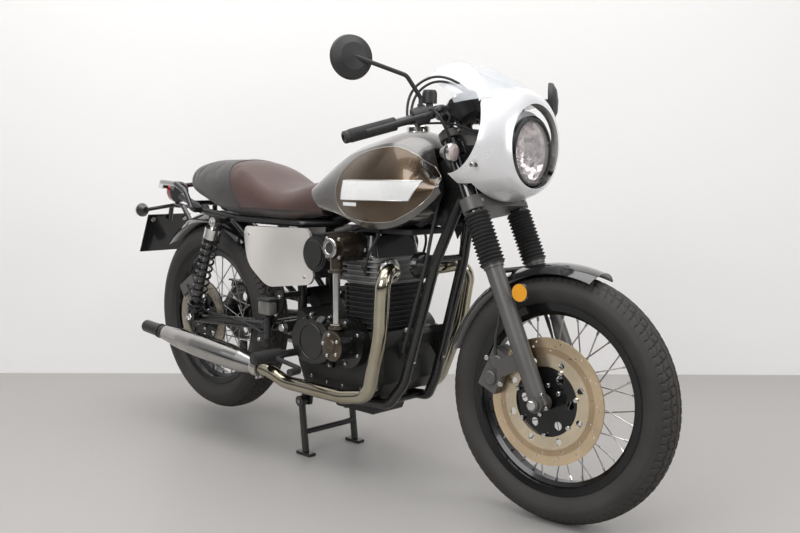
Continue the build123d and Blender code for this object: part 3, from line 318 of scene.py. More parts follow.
def block(centre, size, turn=None, edge=2.0):
    """A box with cut edges, turned about its centre."""
    form = bmesh.new()
    bmesh.ops.create_cube(form, size=1, matrix=Matrix.Diagonal((*size, 1)))
    bmesh.ops.bevel(form, geom=form.edges, offset=edge, segments=2, profile=0.5, affect="EDGES")
    spin = turn or Matrix.Identity(3)
    form.verts.ensure_lookup_table()
    points = [Vector(centre) + spin @ v.co for v in form.verts]
    faces = [[v.index for v in f.verts] for f in form.faces]
    form.free()
    return points, faces


def strip_faces(rings, size, closed=True):
    """Faces between rings of points, the row of rings being closed on itself or capped."""
    faces = []
    for n in range(rings if closed else rings - 1):
        here, after = n * size, (n + 1) % rings * size
        faces += [(here + m, here + (m + 1) % size, after + (m + 1) % size, after + m) for m in range(size)]
    if not closed:
        faces += [tuple(range(size)), tuple(range((rings - 1) * size, rings * size))]
    return faces


def evaluated(piece):
    """A piece's mesh with its modifiers done."""
    return bpy.data.meshes.new_from_object(piece.evaluated_get(bpy.context.evaluated_depsgraph_get()))


def hose(route, radius):
    """A round pipe on a smooth line drawn by a few route points."""
    curve = bpy.data.curves.new("hose", "CURVE")
    curve.dimensions = "3D"
    curve.bevel_depth = radius
    curve.bevel_resolution = 3
    curve.use_fill_caps = True
    line = curve.splines.new("NURBS")
    line.points.add(len(route) - 1)
    for point, place in zip(line.points, route):
        point.co = (*place, 1)
    line.order_u = 3
    line.use_endpoint_u = True
    line.resolution_u = 6
    holder = shown("hose", curve)
    mesh = evaluated(holder)
    form = bmesh.new()
    form.from_mesh(mesh)
    bmesh.ops.remove_doubles(form, verts=form.verts, dist=0.01)
    form.verts.ensure_lookup_table()
    shape = [v.co.copy() for v in form.verts], [[v.index for v in f.verts] for f in form.faces]
    form.free()
    bpy.data.objects.remove(holder)
    bpy.data.curves.remove(curve)
    bpy.data.meshes.remove(mesh)
    return shape


# Fasteners: zinc and chrome plated bolts with round or six-sided heads, driven into bosses. One tree sets
# every kind on its places, and is used again for nipples, links, ribs and marks.
set_on_places, given, result = new_group("set on places", {
    "Geometry": "Geometry", "Part": "Object", "Size": "Float", "Finish": "Material"},
    {"Geometry": "Geometry"},
    "Geometry")
part, spread, turn, size, real, paint = added(
    set_on_places, "ObjectInfo", "InstanceOnPoints", "InputNamedAttribute", "InputNamedAttribute",
    "RealizeInstances", "SetMaterial", family="GeometryNode")
for reader, label in ((turn, "turn"), (size, "size")):
    reader.data_type = "FLOAT_VECTOR"
    put(reader, {"Name": label})
grow, = added(set_on_places, "VectorMath")
grow.operation = "SCALE"
wire(set_on_places, (given, "Part", part, "Object"), (given, "Geometry", spread, "Points"),
     (part, "Geometry", spread, "Instance"), (turn, "Attribute", spread, "Rotation"),
     (size, "Attribute", grow, 0), (given, "Size", grow, "Scale"), (grow, "Vector", spread, "Scale"),
     (spread, "Instances", real, "Geometry"), (real, "Geometry", paint, "Geometry"),
     (given, "Finish", paint, "Material"), (paint, "Geometry", result, "Geometry"))
set_sockets = {s.name: s.identifier for s in set_on_places.interface.items_tree if s.in_out == "INPUT"}


def repeated(name, shape, spots, material, body="chassis", size=1.0):
    """Copies of one shape on (place, way) spots, way being the direction its Z axis takes, or a matrix."""
    part = shown(name + " part", mesh_of(name + " part", [shape]))
    places, turns, sizes = [], [], []
    for spot, way in spots:
        local = way if isinstance(way, Matrix) else Vector(way).to_track_quat("Z", "Y").to_matrix()
        place, turn, scale = (body_places[body] @ Matrix.Translation(spot) @ local.to_4x4()).decompose()
        places.append(place)
        turns.extend(turn.to_euler())
        sizes.extend(scale)
    mesh = bpy.data.meshes.new(name)
    mesh.from_pydata(places, [], [])
    mesh.attributes.new("turn", "FLOAT_VECTOR", "POINT").data.foreach_set("vector", turns)
    mesh.attributes.new("size", "FLOAT_VECTOR", "POINT").data.foreach_set("vector", sizes)
    holder = shown(name, mesh)
    modifier = holder.modifiers.new("set", "NODES")
    modifier.node_group = set_on_places
    modifier[set_sockets["Part"]] = part
    modifier[set_sockets["Size"]] = size
    modifier[set_sockets["Finish"]] = material
    holder.update_tag()
    copies = evaluated(holder)
    bpy.data.objects.remove(holder)
    bpy.data.objects.remove(part)
    return ridden(name, copies, body, 35)


bright_steel = finish("plated steel", (0.70, 0.69, 0.67), (0.52, 0.51, 0.49), 0.18, 0.14, 60.0,
                      metal=1.0)
round_head = lathe([(0, -2), (5.4, -2), (5.4, 3.2), (4.2, 4.6), (0, 5.0)], steps=10)
hex_head = lathe([(0, -2), (8.0, -2), (8.0, 4.5), (6.9, 5.6), (0, 5.8)], steps=6)


def bolted(name, spots, body="chassis", size=1.0, head=round_head):
    """Plated bolts, nuts or screws of one kind."""
    repeated(name, head, spots, bright_steel, body, size)


# Engine: cast alloy halves in semi-gloss black with a fine cast grain. The covers are bolted on round
# their edges, the clutch on the right behind the crank, the generator on the left.
engine_black = finish("engine black", (0.012, 0.012, 0.0112), (0.022, 0.022, 0.021), 0.38,
                      0.16,
                      10.0, 700.0, 0.0002)
cover_black = finish("cover black", (0.008, 0.008, 0.0075), (0.014, 0.014, 0.013), 0.18,
                     0.10, 9.0,
                     coat=0.3)
dress(engine_black, "crankcase", "cylinder_block", "airbox", "intakes")
dress(cover_black, "engine_covers", "cam_cover")
clutch_middle, crank_middle, generator_middle = (Vector(p) for p in (
    (688, -114.3, 382), (821, -146, 391), (821, 118, 391)))
cover_bolts, lugs = [], []
for n in range(12):
    angle = 2 * pi * (n + 0.5) / 12
    spot = round_spot(clutch_middle, 74, angle) + front * (23 if cos(angle) > 0 else -23)
    if spot.x <= 752:
        lugs.append(rod(spot + left * 6, spot + right * 14, 9.5, 1.5))
        cover_bolts.append((spot + right * 14, right))
for n in range(7):
    spot = round_spot(generator_middle, 74, 2 * pi * n / 7)
    lugs.append(rod(spot + right * 6, spot + left * 12, 9.5, 1.5))
    cover_bolts.append((spot + left * 12, left))
case_places = ((630, 262), (700, 254), (770, 254), (850, 256), (918, 268), (930, 330), (926, 392), (640, 414),
               (600, 404))
cover_bolts += [(round_spot(crank_middle, 59, 2 * pi * (n + 0.5) / 6), right) for n in range(6)]
cover_bolts += [(Vector((x, 142, z)), left) for x, z in ((566, 352), (560, 440), (690, 430), (684, 334))]
cover_bolts += [(Vector((x, -114, z)), right) for x, z in case_places]
cover_bolts += [(Vector((x, 114, z)), left) for x, z in case_places if x > 760]
made("cover_lugs", lugs, cover_black)
bolted("cover_bolts", cover_bolts)

# Clutch cover: a raised rim round the place of the badge, the oil filler's plug above it, and a round
# glass low on the case that shows the oil.
rim_rows = [(50, 0), (54, 0), (55, 1.5), (54, 3), (50, 3), (49, 1.5)]
made("clutch_rim", [lathe(rim_rows, clutch_middle + right * 52, right, 48)], cover_black)
plug_rows = [(0, 0), (15, 0), (15, 14), (13, 16), (0, 16)]
made("oil_filler", [lathe(plug_rows, (724, -150, 440), (0.1, -0.6, 0.8), 16)], cover_black)
glass_rows = [(0, 0), (16, 0), (16, 3), (13, 4), (12, 3), (0, 3)]
sight = finish("sight glass", (0.20, 0.14, 0.06), (0.12, 0.08, 0.03), 0.08, coat=1.0)
made("sight_glass", [lathe(glass_rows, (648, -155, 350), right, 24)], sight)

# Barrels and head: the block is black and finned, the head grey cast alloy with brushed fin edges.
# Sleeve nuts hold the head, a plug cap stands on each side, and four bolts hold the cam cover.
engine_grey = finish("engine grey", (0.22, 0.22, 0.22), (0.30, 0.30, 0.295), 0.42, 0.15, 20.0,
                     900.0, 0.0003, 0.6)
dress(engine_grey, "cylinder_head")
head_bolts = paired(*((x, 98, 641) for x in (776, 826, 884)), way=top)
head_bolts += [(Vector((x, sign * 104, 662)), Vector((0, sign, 0.2))) for x in (790, 858) for sign in (1, -1)]
bolted("head_bolts", head_bolts, size=1.25)
bolted("cam_cover_bolts", paired((792, 60, 702), (868, 60, 702), way=top), size=1.5)
stays = [rod((x, sign * 88, 441), (x, sign * 88, 556), 6, 1) for x in (764, 908) for sign in (1, -1)]
made("barrel_stays", stays, engine_black)

# Cam drive tower: a chromed tube round the vertical shaft, between two bevel housings of polished
# alloy in dark bronze. The upper cap carries a bright ring, the lower one a ring of bolts.
chrome = finish("chrome", (0.86, 0.85, 0.83), (0.80, 0.78, 0.74), 0.06, 0.06, 9.0, metal=1.0)
housing_bronze = finish("housing bronze", (0.10, 0.085, 0.065), (0.15, 0.12, 0.09), 0.2, 0.12, 16.0,
                        metal=0.9)
rubber = finish("rubber", (0.020, 0.020, 0.021), (0.035, 0.034, 0.033), 0.55, 0.15, 14.0,
                900.0,
                0.0002)

# Distance from an axis and along it, for rings and bands on turned parts.
round_axis, given, result = new_group("round an axis", {"Centre": "Vector", "Axis": "Vector"},
                                      {"Radius": "Float", "Along": "Float"})
spot, away, reach, foot, spread, span = added(round_axis, "TexCoord", *["VectorMath"] * 5)
for node, operation in ((away, "SUBTRACT"), (reach, "DOT_PRODUCT"), (foot, "SCALE"), (spread, "SUBTRACT"),
                        (span, "LENGTH")):
    node.operation = operation
wire(round_axis, (spot, "Object", away, 0), (given, "Centre", away, 1), (away, "Vector", reach, 0),
     (given, "Axis", reach, 1), (given, "Axis", foot, 0), (reach, "Value", foot, "Scale"),
     (away, "Vector", spread, 0), (foot, "Vector", spread, 1), (spread, "Vector", span, 0),
     (span, "Value", result, "Radius"), (reach, "Value", result, "Along"))


def banded(name, centre, axis, measure, bands, body="chassis", coat=0.3, relief=0.0, grain=600.0):
    """A finish in bands round an axis. Each band: where it ends in millimetres, colour, metal, roughness."""
    material = finish(name, (0.5, 0.5, 0.5), (0.4, 0.4, 0.4), 0.3, 0.06, 12.0, grain, relief, coat=coat)
    tree = material.node_tree
    rings, reach, parted, darker, values, paints = added(
        tree, "Group", "MapRange", "SeparateColor", "HueSaturation", "ValToRGB", "ValToRGB")
    rings.node_tree = round_axis
    place = body_places[body]
    low, high = bands[0][0] - 1000, bands[-1][0] + 1000
    put(rings, {"Centre": place @ Vector(centre), "Axis": (place.to_3x3() @ Vector(axis)).normalized()})
    put(reach, {"From Min": low * 0.001, "From Max": high * 0.001})
    put(darker, {"Value": 0.8})
    for ramp in (values, paints):
        stops = ramp.color_ramp.elements
        ramp.color_ramp.interpolation = "CONSTANT"
        start = 0.0
        for n, (end, colour, metal, roughness) in enumerate(bands):
            stop = stops.new(start) if n else stops[0]
            stop.position = start
            stop.color = (*colour, 1) if ramp == paints else (metal, roughness, 0, 1)
            start = (end - low) / (high - low)
        while len(stops) > len(bands):
            stops.remove(stops[-1])
    varied = tree.nodes["varied"]
    wire(tree, (rings, measure, reach, "Value"), (reach, "Result", values, "Fac"),
         (reach, "Result", paints, "Fac"),
         (values, "Color", parted, "Color"), (paints, "Color", darker, "Color"),
         (paints, "Color", varied, "Colour"), (darker, "Color", varied, "Shade"),
         (parted, "Green", varied, "Roughness"), (parted, "Red", tree.nodes["Principled BSDF"], "Metallic"))
    return material


tower_low, tower_high = Vector((821, -180, 391)), Vector((821, -204, 671))
bronze_band, bright_band = ((0.11, 0.09, 0.065), 0.9, 0.22), ((0.80, 0.79, 0.77), 1.0, 0.1)
dress(banded("tower", tower_low, top, "Along", ((55, *bronze_band), (213, *bright_band),
                                                (330, *bronze_band))),
      "cam_drive_tower")
lower_rows = [(0, 0), (43, 0), (44, 3), (38, 6), (20, 7), (18, 12), (0, 13)]
made("lower_bevel_cap", [lathe(lower_rows, tower_low + right * 18, right, 40)], housing_bronze)
ring_rows = [(16, -2), (27.5, -2), (28.5, 2), (26, 5), (18, 5), (16, 3)]
made("upper_cap_ring", [lathe(ring_rows, tower_high, right, 40)], bright_steel)
made("upper_cap_middle", [lathe([(0, -1), (18, -1), (17, 3), (12, 1), (0, 1)], tower_high, right, 32)],
     rubber)
tower_bolts = [(round_spot(tower_low + right * 24, 32, 2 * pi * n / 5 + 0.5), right) for n in range(5)]
tower_bolts += [(round_spot(tower_high + left * 12, 36, 2 * pi * (n + 0.5) / 4), right) for n in range(4)]
bolted("tower_bolts", tower_bolts)
flange_rows = [(10.6, 0), (24, 0), (24, 7), (19, 9), (10.6, 9)]
made("tower_flanges", [lathe(flange_rows, (821, -180, 438), top, 28),
                       lathe(flange_rows, (821, -180, 608), -top, 28)],
     housing_bronze)

# Intakes and plug leads: black moulded caps on the throttle bodies behind the head, a bright clamp on
# each stub, and rubber leads from the coils under the tank down to the plug caps.
cap_rows = [(36, 0), (44, 0), (44, 3), (40, 5), (36, 3)]
lead_route = ((880, 30, 748), (900, 60, 742), (908, 104, 700), (880, 120, 640), (868, 108, 604))
for side, sign in sides.items():
    made("intake_ring_" + side, [lathe(cap_rows, (678, sign * 139.6, 641), outward[sign], 40)], cover_black)
    lead = [sided(spot, sign) for spot in lead_route]
    plug_cap = rod((872, sign * 122, 622), (866, sign * 100, 590), 9)
    made("plug_lead_" + side, [hose(lead, 4), plug_cap], rubber)
clamp_rows = [(26.8, -4), (28.6, -4), (28.6, 4), (26.8, 4)]
made("intake_clamps", [lathe(clamp_rows, (742, sign * 60, 606), front) for sign in (1, -1)], bright_steel)

# Exhaust: double-wall headers, chrome plated and turned golden near the head, held by finned nuts.
# The silencers are chrome megaphones with a clamp at the joint and a black end piece.
headers = finish("header chrome", (0.47, 0.44, 0.35), (0.36, 0.31, 0.21), 0.11, 0.06, 5.0,
                 metal=1.0)
dress(headers, "exhaust_headers")
nut_rows = [(21.5, 0), (34, 0), (36, 3), (33, 5), (36, 8), (33, 10), (36, 13), (33, 16), (21.5, 18)]
silencer_start, silencer_tip = Vector((462, 184, 272)), Vector((-178, 205, 329))
silencer_way = (silencer_tip - silencer_start).normalized()
silencer_bands = ((90, (0.52, 0.51, 0.49), 1.0, 0.12), (516, (0.52, 0.51, 0.49), 1.0, 0.06),
                  (700, (0.02, 0.02, 0.02), 0.4, 0.3))
dress(banded("silencer chrome", sided(silencer_start, -1), sided(silencer_way, -1), "Along", silencer_bands),
      "silencers")
collar_rows = [(24, -14), (30, -14), (31, -10), (28.5, -8), (28.5, 8), (31, 10), (30, 14), (24, 14)]
end_rows = [(18.2, -8), (25, -8), (25.5, 0), (22, 3), (18.2, 3)]
for side, sign in sides.items():
    made("header_nut_" + side, [lathe(nut_rows, (934.5, sign * 86, 606), front, 36)], bright_steel)
    start, way = sided(silencer_start, sign), sided(silencer_way, sign)
    bolt = start + way * 4 - top * 32
    collar = [lathe(collar_rows, start + way * 8, way, 36), rod(bolt + right * 14, bolt + left * 14, 4.5),
              block(bolt + top * 6, (22, 12, 16))]
    made("silencer_clamp_" + side, collar, bright_steel)
    strap = start + way * 118 + Vector((0, -sign * 26, 40))
    made("silencer_strap_" + side, [block(strap, (34, 10, 34))], enamel)
    end_black = finish("end black " + side, (0.02, 0.02, 0.02), (0.035, 0.033, 0.03), 0.3)
    made("silencer_end_" + side, [lathe(end_rows, start + way * 556, way)], end_black)

# Shocks: black dampers with chrome caps, real coil springs wound from round wire, and a nut at each eye.
# The springs take the place of the plain ones.
damper_low, damper_high = Vector((45, 152, 384)), Vector((182, 152, 716))
damper_way = (damper_high - damper_low).normalized()
dress(banded("damper", sided(damper_low, -1), (0.386, 0, 0.923), "Along", (
    (300, (0.02, 0.02, 0.02), 0.3, 0.25), (400, (0.75, 0.74, 0.72), 1.0, 0.12))), "shock_dampers")
low_seat, high_seat = 42.3, 62.3
spring_length = (damper_high - damper_low).length - low_seat - high_seat
coils, wire_radius, coil_radius, steps_round, wire_sides = 10.5, 3.9, 24.6, 26, 8


def coil_spring(foot, way, length):
    """A helix of round wire with its last turn flat at each end."""
    turn = way.to_track_quat("Z", "Y").to_matrix()
    count = int(coils * steps_round)
    points = []
    for n in range(count + 1):
        share = n / count
        lift = wire_radius + (length - 2 * wire_radius) * min(max((share - 0.05) / 0.90, 0.0), 1.0)
        angle = 2 * pi * coils * share
        out = Vector((cos(angle), sin(angle), 0))
        for m in range(wire_sides):
            lean = 2 * pi * m / wire_sides
            points.append(foot + turn @ (out * (coil_radius + wire_radius * cos(lean))
                                         + top * (lift + wire_radius * sin(lean))))
    return points, strip_faces(count + 1, wire_sides, False)


spring_shapes = []
for sign in (1, -1):
    foot = sided(damper_low + damper_way * low_seat, sign)
    spring_shapes.append(coil_spring(foot, damper_way, spring_length))
    spring_shapes.append(rod(foot - damper_way * 4, foot + damper_way * (spring_length + 4), 11.5))
spring_black = finish("spring black", (0.014, 0.014, 0.015), (0.03, 0.03, 0.03), 0.2, 0.1,
                      20.0,
                      coat=0.7)
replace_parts(made("coil_springs", spring_shapes, spring_black), "shock_springs")
bolted("shock_nuts", paired((45, 164, 384), (182, 164, 716)), size=1.3, head=hex_head)

# Wheels: black anodised alloy rims laced with steel spokes, each held by a nipple at the rim.
# The drilled front disc is bronze with a brighter swept ring, on a black carrier with bright bolts.
rim_black = finish("rim black", (0.010, 0.010, 0.011), (0.018, 0.018, 0.018), 0.16, 0.1,
                   metal=0.6,
                   coat=0.4)
spoke_steel = finish("spoke steel", (0.66, 0.65, 0.64), (0.5, 0.5, 0.5), 0.24, 0.1, metal=1.0)
axle_steel = finish("axle steel", (0.30, 0.295, 0.29), (0.2, 0.2, 0.2), 0.3, 0.12, 40.0, metal=1.0)
dress(rim_black, "front_rim", "rear_rim", "front_hub", "rear_hub")
dress(spoke_steel, "front_spokes", "rear_spokes")
dress(axle_steel, "front_axle", "rear_axle", "pivot_pins")
front_bands = ((118, (0.86, 0.74, 0.55), 1.0, 0.22), (133, (0.62, 0.46, 0.30), 1.0, 0.30),
               (170, (0.84, 0.66, 0.44), 1.0, 0.27))
rear_bands = ((104, (0.42, 0.36, 0.28), 1.0, 0.3), (140, (0.50, 0.45, 0.38), 1.0, 0.25))
nipple = lathe([(0, 0), (3.4, 0), (3.4, 7), (2.6, 12), (0, 12)], steps=6)
bead_radius, rim_base = 229.0, 211.4
# End, axle, hub flange's place and radius, disc's place, radius and number of its bolts, its bands.
wheel_rows = (
    ("front", front_axle, 30.0, 46.0, -64.0, 86.0, 7, front_bands),
    ("rear", rear_axle, 36.0, 58.0, -84.0, 94.0, 6, rear_bands),
)
for end, axle, flange_y, flange_radius, disc_y, bolt_radius, bolt_count, bands in wheel_rows:
    body = end + "_wheel"
    dress(banded(end + " disc", axle, left, "Radius", bands, body, 0.0, 0.00008, 2500.0), end + "_disc")
    nipples = []
    for row, (sign, layer, rim_y, turn) in enumerate(((1, 3.6, 8.0, 66.0), (1, -3.6, 2.5, -66.0),
                                                      (-1, 3.6, 8.0, 66.0), (-1, -3.6, 2.5, -66.0))):
        for n in range(9):
            at_rim = radians(n * 40 + row * 10)
            inner = round_spot(left * sign * (flange_y + layer), flange_radius + 2.3, at_rim - radians(turn))
            outer = round_spot(left * sign * rim_y, rim_base, at_rim)
            nipples.append((axle + outer, (inner - outer).normalized()))
    repeated(body + "_nipples", nipple, nipples, bright_steel, body)
    bolts = []
    for n in range(bolt_count):
        angle = 2 * pi * n / bolt_count + 0.2
        bolts.append((round_spot(axle + left * (disc_y - 2.4), bolt_radius, angle), right))
        if n < 5:
            bolts.append((round_spot(axle + left * (disc_y + 3.0), 40, angle + pi / bolt_count), right))
    bolted(body + "_disc_bolts", bolts, body, 1.15)

# Tyres: road rubber with a blocky tread cut in by zigzag grooves, and a smooth bulged sidewall.
# Each takes the place of the plain ring of the solids.
tyre_rubber = finish("tyre rubber", (0.026, 0.0235, 0.021), (0.044, 0.040, 0.036), 0.58, 0.2,
                     9.0,
                     1200.0, 0.0002)
# Share of the half width, and drop from the top as a share of the half width.
crown = ((0.0, 0.0), (0.24, 0.008), (0.45, 0.075), (0.70, 0.22), (0.88, 0.44), (1.0, 0.72))
groove_depth, tread_columns, steps_per_pitch = 4.0, 76, 10


def zigzag(share):
    """A wave of straight slopes between -1 and 1."""
    return abs((share % 1.0) * 2 - 1) * 2 - 1


def crown_drop(share):
    """Drop of the tread at a share of the half width, on the smooth crown."""
    for (a, low), (b, high) in zip(crown, crown[1:]):
        if share <= b:
            return low + (high - low) * (share - a) / (b - a)
    return crown[-1][1]


def groove(turns, across):
    """How deep the tread is cut at a place: 1 in a groove's floor, 0 on a block."""
    out = abs(across)
    lines = (0.17 + 0.05 * zigzag(turns), 0.50 + 0.07 * zigzag(turns + 0.25))
    near = min(abs(out - line) for line in lines) * 50
    slant = (turns * 2 + out * 1.1 + (0.25 if across > 0 else 0.0)) % 1.0
    side_cut = min(slant, 1 - slant) * 20 if 0.17 < out < 0.86 else 9.0
    centre_cut = abs((turns * 2) % 1.0 - 0.5) * 20 if out < 0.17 else 9.0
    gap = min(near, side_cut, centre_cut + 0.8)
    return min(max((2.4 - gap) / 1.2, 0.0), 1.0)


def tyre_shape(axle, radius, half, rim_seat, pitches):
    """A tyre from its axle, radius, half width, half seat width and number of tread pitches."""
    count = pitches * steps_per_pitch
    shares = [2 * n / tread_columns - 1 for n in range(tread_columns + 1)]
    wall = ((radius - 0.86 * half, 0.995), (268, 0.965), (254, 0.86), (244.2, (rim_seat + 3) / half))
    points = []
    for n in range(count):
        ring = [(reach, -share * half) for reach, share in reversed(wall)]
        for share in shares:
            drop = crown_drop(abs(share)) * half + groove_depth * groove(n / steps_per_pitch, share)
            ring.append((radius - drop, share * half))
        ring += [(reach, share * half) for reach, share in wall]
        ring += [(bead_radius + 0.4, rim_seat), (bead_radius + 0.4, -rim_seat)]
        points += [round_spot(axle + left * y, reach, 2 * pi * n / count) for reach, y in ring]
    return points, strip_faces(count, len(points) // count)


tyre_rows = {"front": (front_axle, 318.6, 50.0, 31.7, 46), "rear": (rear_axle, 332.6, 65.0, 38.7, 48)}
for end, row in tyre_rows.items():
    tyre = made(end + "_road_tyre", [tyre_shape(*row)], tyre_rubber, end + "_wheel", crease=28)
    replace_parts(tyre, end + "_tyre")

# Chain: pressed link plates in pairs over round rollers, oiled steel, round both sprockets.
# Outer and inner links take turns along one loop of two straight runs and two arcs.
chain_steel = finish("chain steel", (0.26, 0.25, 0.23), (0.14, 0.13, 0.12), 0.34, 0.15, 60.0,
                     metal=1.0)
dress(chain_steel, "rear_sprocket")
rear_pitch_radius, front_pitch_radius, pitch = 94.0, 38.2, 15.875
rear_centre, front_centre = rear_axle + left * 84, Vector((600, 84, 396))
sprocket_gap = front_centre - rear_centre
tilt = atan2(rear_pitch_radius - front_pitch_radius, sprocket_gap.length)
run = (sprocket_gap.length**2 - (rear_pitch_radius - front_pitch_radius) ** 2) ** 0.5
rear_wrap, front_wrap = pi + 2 * tilt, pi - 2 * tilt
loop_length = 2 * run + rear_wrap * rear_pitch_radius + front_wrap * front_pitch_radius
link_count = 2 * round(loop_length / pitch / 2)
link_length = loop_length / link_count


def chain_spot(travel):
    """Place along the loop, from the top run's rear end."""
    travel %= loop_length
    angle = atan2(sprocket_gap.z, sprocket_gap.x) - tilt + pi / 2
    for start, start_radius, end, radius, wrap in (
            (rear_centre, rear_pitch_radius, front_centre, front_pitch_radius, front_wrap),
            (front_centre, front_pitch_radius, rear_centre, rear_pitch_radius, rear_wrap)):
        if travel < run:
            return round_spot(start, start_radius, angle) + Vector((sin(angle), 0, -cos(angle))) * travel
        travel -= run
        if travel < wrap * radius:
            return round_spot(end, radius, angle - travel / radius)
        travel -= wrap * radius
        angle -= wrap
    return round_spot(rear_centre, rear_pitch_radius, angle)


def link_plate(y_low, y_high):
    """A waisted side plate, one pitch long, with rounded ends."""
    outline = []
    for centre, start, waist in ((7.94, -90, 4.7), (-7.94, 90, -4.7)):
        for n in range(5):
            angle = radians(start + 45 * n)
            outline.append((centre + 6.6 * cos(angle), 6.6 * sin(angle)))
        outline.append((0, waist))
    points = [Vector((x, y, z)) for y in (y_low, y_high) for x, z in outline]
    return points, strip_faces(2, len(outline), False)


def link(inner, outer, pin_reach, pin_radius, pin_sides):
    """Two side plates and the two pins or rollers that join them."""
    shapes = [link_plate(inner, outer), link_plate(-outer, -inner)]
    shapes += [rod((x, -pin_reach, 0), (x, pin_reach, 0), pin_radius, 0.3, pin_sides) for x in (7.94, -7.94)]
    points, faces = [], []
    for more_points, more_faces in shapes:
        faces += [[n + len(points) for n in face] for face in more_faces]
        points += more_points
    return points, faces


for first, name, shape in ((0, "outer_links", link(5.2, 6.9, 8.2, 2.6, 6)),
                           (1, "inner_links", link(3.4, 5.0, 3.4, 5.0, 8))):
    spots = []
    for n in range(first, link_count, 2):
        tail, head = chain_spot(n * link_length), chain_spot((n + 1) * link_length)
        way = (head - tail).normalized()
        spots.append(((tail + head) / 2, Matrix((way, left, way.cross(left))).transposed()))
    links = repeated(name, shape, spots, chain_steel)
    if not first:
        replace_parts(links, "chain")

# Fork: cast lower legs in satin black with pinch bolts at the axle, black stanchions under ribbed
# rubber gaiters, forged yokes that clamp both tubes, and round amber prisms in cups on the legs.
fork_black = finish("fork black", (0.105, 0.101, 0.096), (0.13, 0.125, 0.119), 0.36, 0.12, 7.0,
                    900.0, 0.00008, metal=0.3)
gloss_black = finish("gloss black", (0.010, 0.010, 0.011), (0.016, 0.016, 0.017), 0.12, 0.06,
                     coat=1.0)
satin_black = finish("satin black", (0.020, 0.020, 0.021), (0.032, 0.032, 0.032), 0.42, 0.12,
                     11.0, 800.0, 0.0001)
dress(fork_black, "fork_lowers", "yokes", "front_caliper", "rear_caliper")
dress(gloss_black, "fork_tubes")
dress(rubber, "fork_gaiters", "grips")
fork_bolts = [(fork_point(up, ahead, sign * y), ahead_of_fork) for sign in (1, -1) for up, ahead, y in (
    (-17, 22, 110), (17, 22, 110), (530, 30, 97), (724, 30, 97))]
bolted("fork_bolts", fork_bolts, "steering")
bolted("front_axle_nuts", paired(front_axle + left * 128.3), "steering", 1.6, hex_head)
band_rows = [(27, -3), (30.5, -3), (30.5, 3), (27, 3)]
made("gaiter_bands", [lathe(band_rows, fork_point(up, 0, sign * 97), along_fork, 28)
                      for sign in (1, -1) for up in (367, 502)], satin_black, "steering")
amber_bands = ((19.5, (0.85, 0.36, 0.01), 0.0, 0.22), (40, (0.02, 0.02, 0.02), 0.0, 0.4))
dress(banded("amber", fork_point(270, 57), left, "Radius", amber_bands, "steering", 1.0, 0.0006, 420.0),
      "reflectors")

# Front brake: a two piston caliper behind the right leg, held by six-sided bolts and fed by a rubber
# hose clipped down the fork.
caliper_at = front_axle + Vector((-140, -64, 62))
piston_rows = [(0, 0), (19, 0), (19, 5), (15, 8), (0, 8)]
made("caliper_pistons", [lathe(piston_rows, caliper_at + Vector((x, -30.5, z)), right, 28)
                         for x, z in ((-10, -20), (10, 22))], fork_black, "steering")
caliper_bolts = [(caliper_at + Vector(place), right)
                 for place in ((-22, -30.8, 30), (22, -30.8, -32), (30, -30.8, 20), (30, -26, 6))]
bolted("caliper_bolts", caliper_bolts, "steering", 0.9, hex_head)
brake_hose = [(1166, -190, 1046), (1196, -196, 1030), (1216, -176, 985), (1196, -120, 930), (1196, -66, 880),
              (1210, -62, 800), (1262, -70, 690), (1300, -76, 600), (1330, -78, 520), (1322, -96, 450),
              (1332, -97, 410)]
made("front_brake_hose", [hose(brake_hose, 4.2)], rubber, "steering")
made("hose_clip", [block((1323, -84, 560), (20, 18, 12))], satin_black, "steering")

# Rear brake: caliper on the axle bracket, its hose along the arm, and a reservoir of milky plastic
# on the right hanger with the master cylinder below it.
rear_hose = [(470, -158, 400), (452, -160, 372), (400, -150, 384), (260, -139, 402), (120, -137, 402),
             (30, -136, 420), (-40, -120, 470), (-70, -104, 478)]
made("rear_brake_hose", [hose(rear_hose, 4)], rubber)
milky = finish("milky plastic", (0.17, 0.165, 0.15), (0.12, 0.115, 0.105), 0.3, 0.1, 20.0,
               coat=0.3)
made("rear_reservoir", [block((482, -168, 462), (58, 34, 44), edge=7)], milky)
made("rear_reservoir_cap", [block((482, -168, 488), (62, 38, 10), edge=4)], satin_black)
made("rear_master", [rod((470, -158, 360), (470, -158, 432), 10, 2),
                     rod((470, -158, 430), (478, -160, 446), 5)],
     satin_black)
bolted("frame_nuts", paired((520, 137, 400), (0, 143, 367.6)), size=1.7, head=hex_head)
bolted("mount_bolts", paired((983, 60.3, 440), (978, 60.3, 398), (1010, 60.3, 352), (518, 147, 496),
                             (412, 147, 350), (500, 147, 440)), size=1.3)

# Fenders: pressed steel in deep gloss black, the front one on a brace between the legs, the rear one
# under the seat rails.
fender_black = finish("fender black", (0.011, 0.011, 0.012), (0.016, 0.016, 0.017), 0.12,
                      0.06,
                      coat=1.0)
dress(fender_black, "front_fender", "rear_fender")

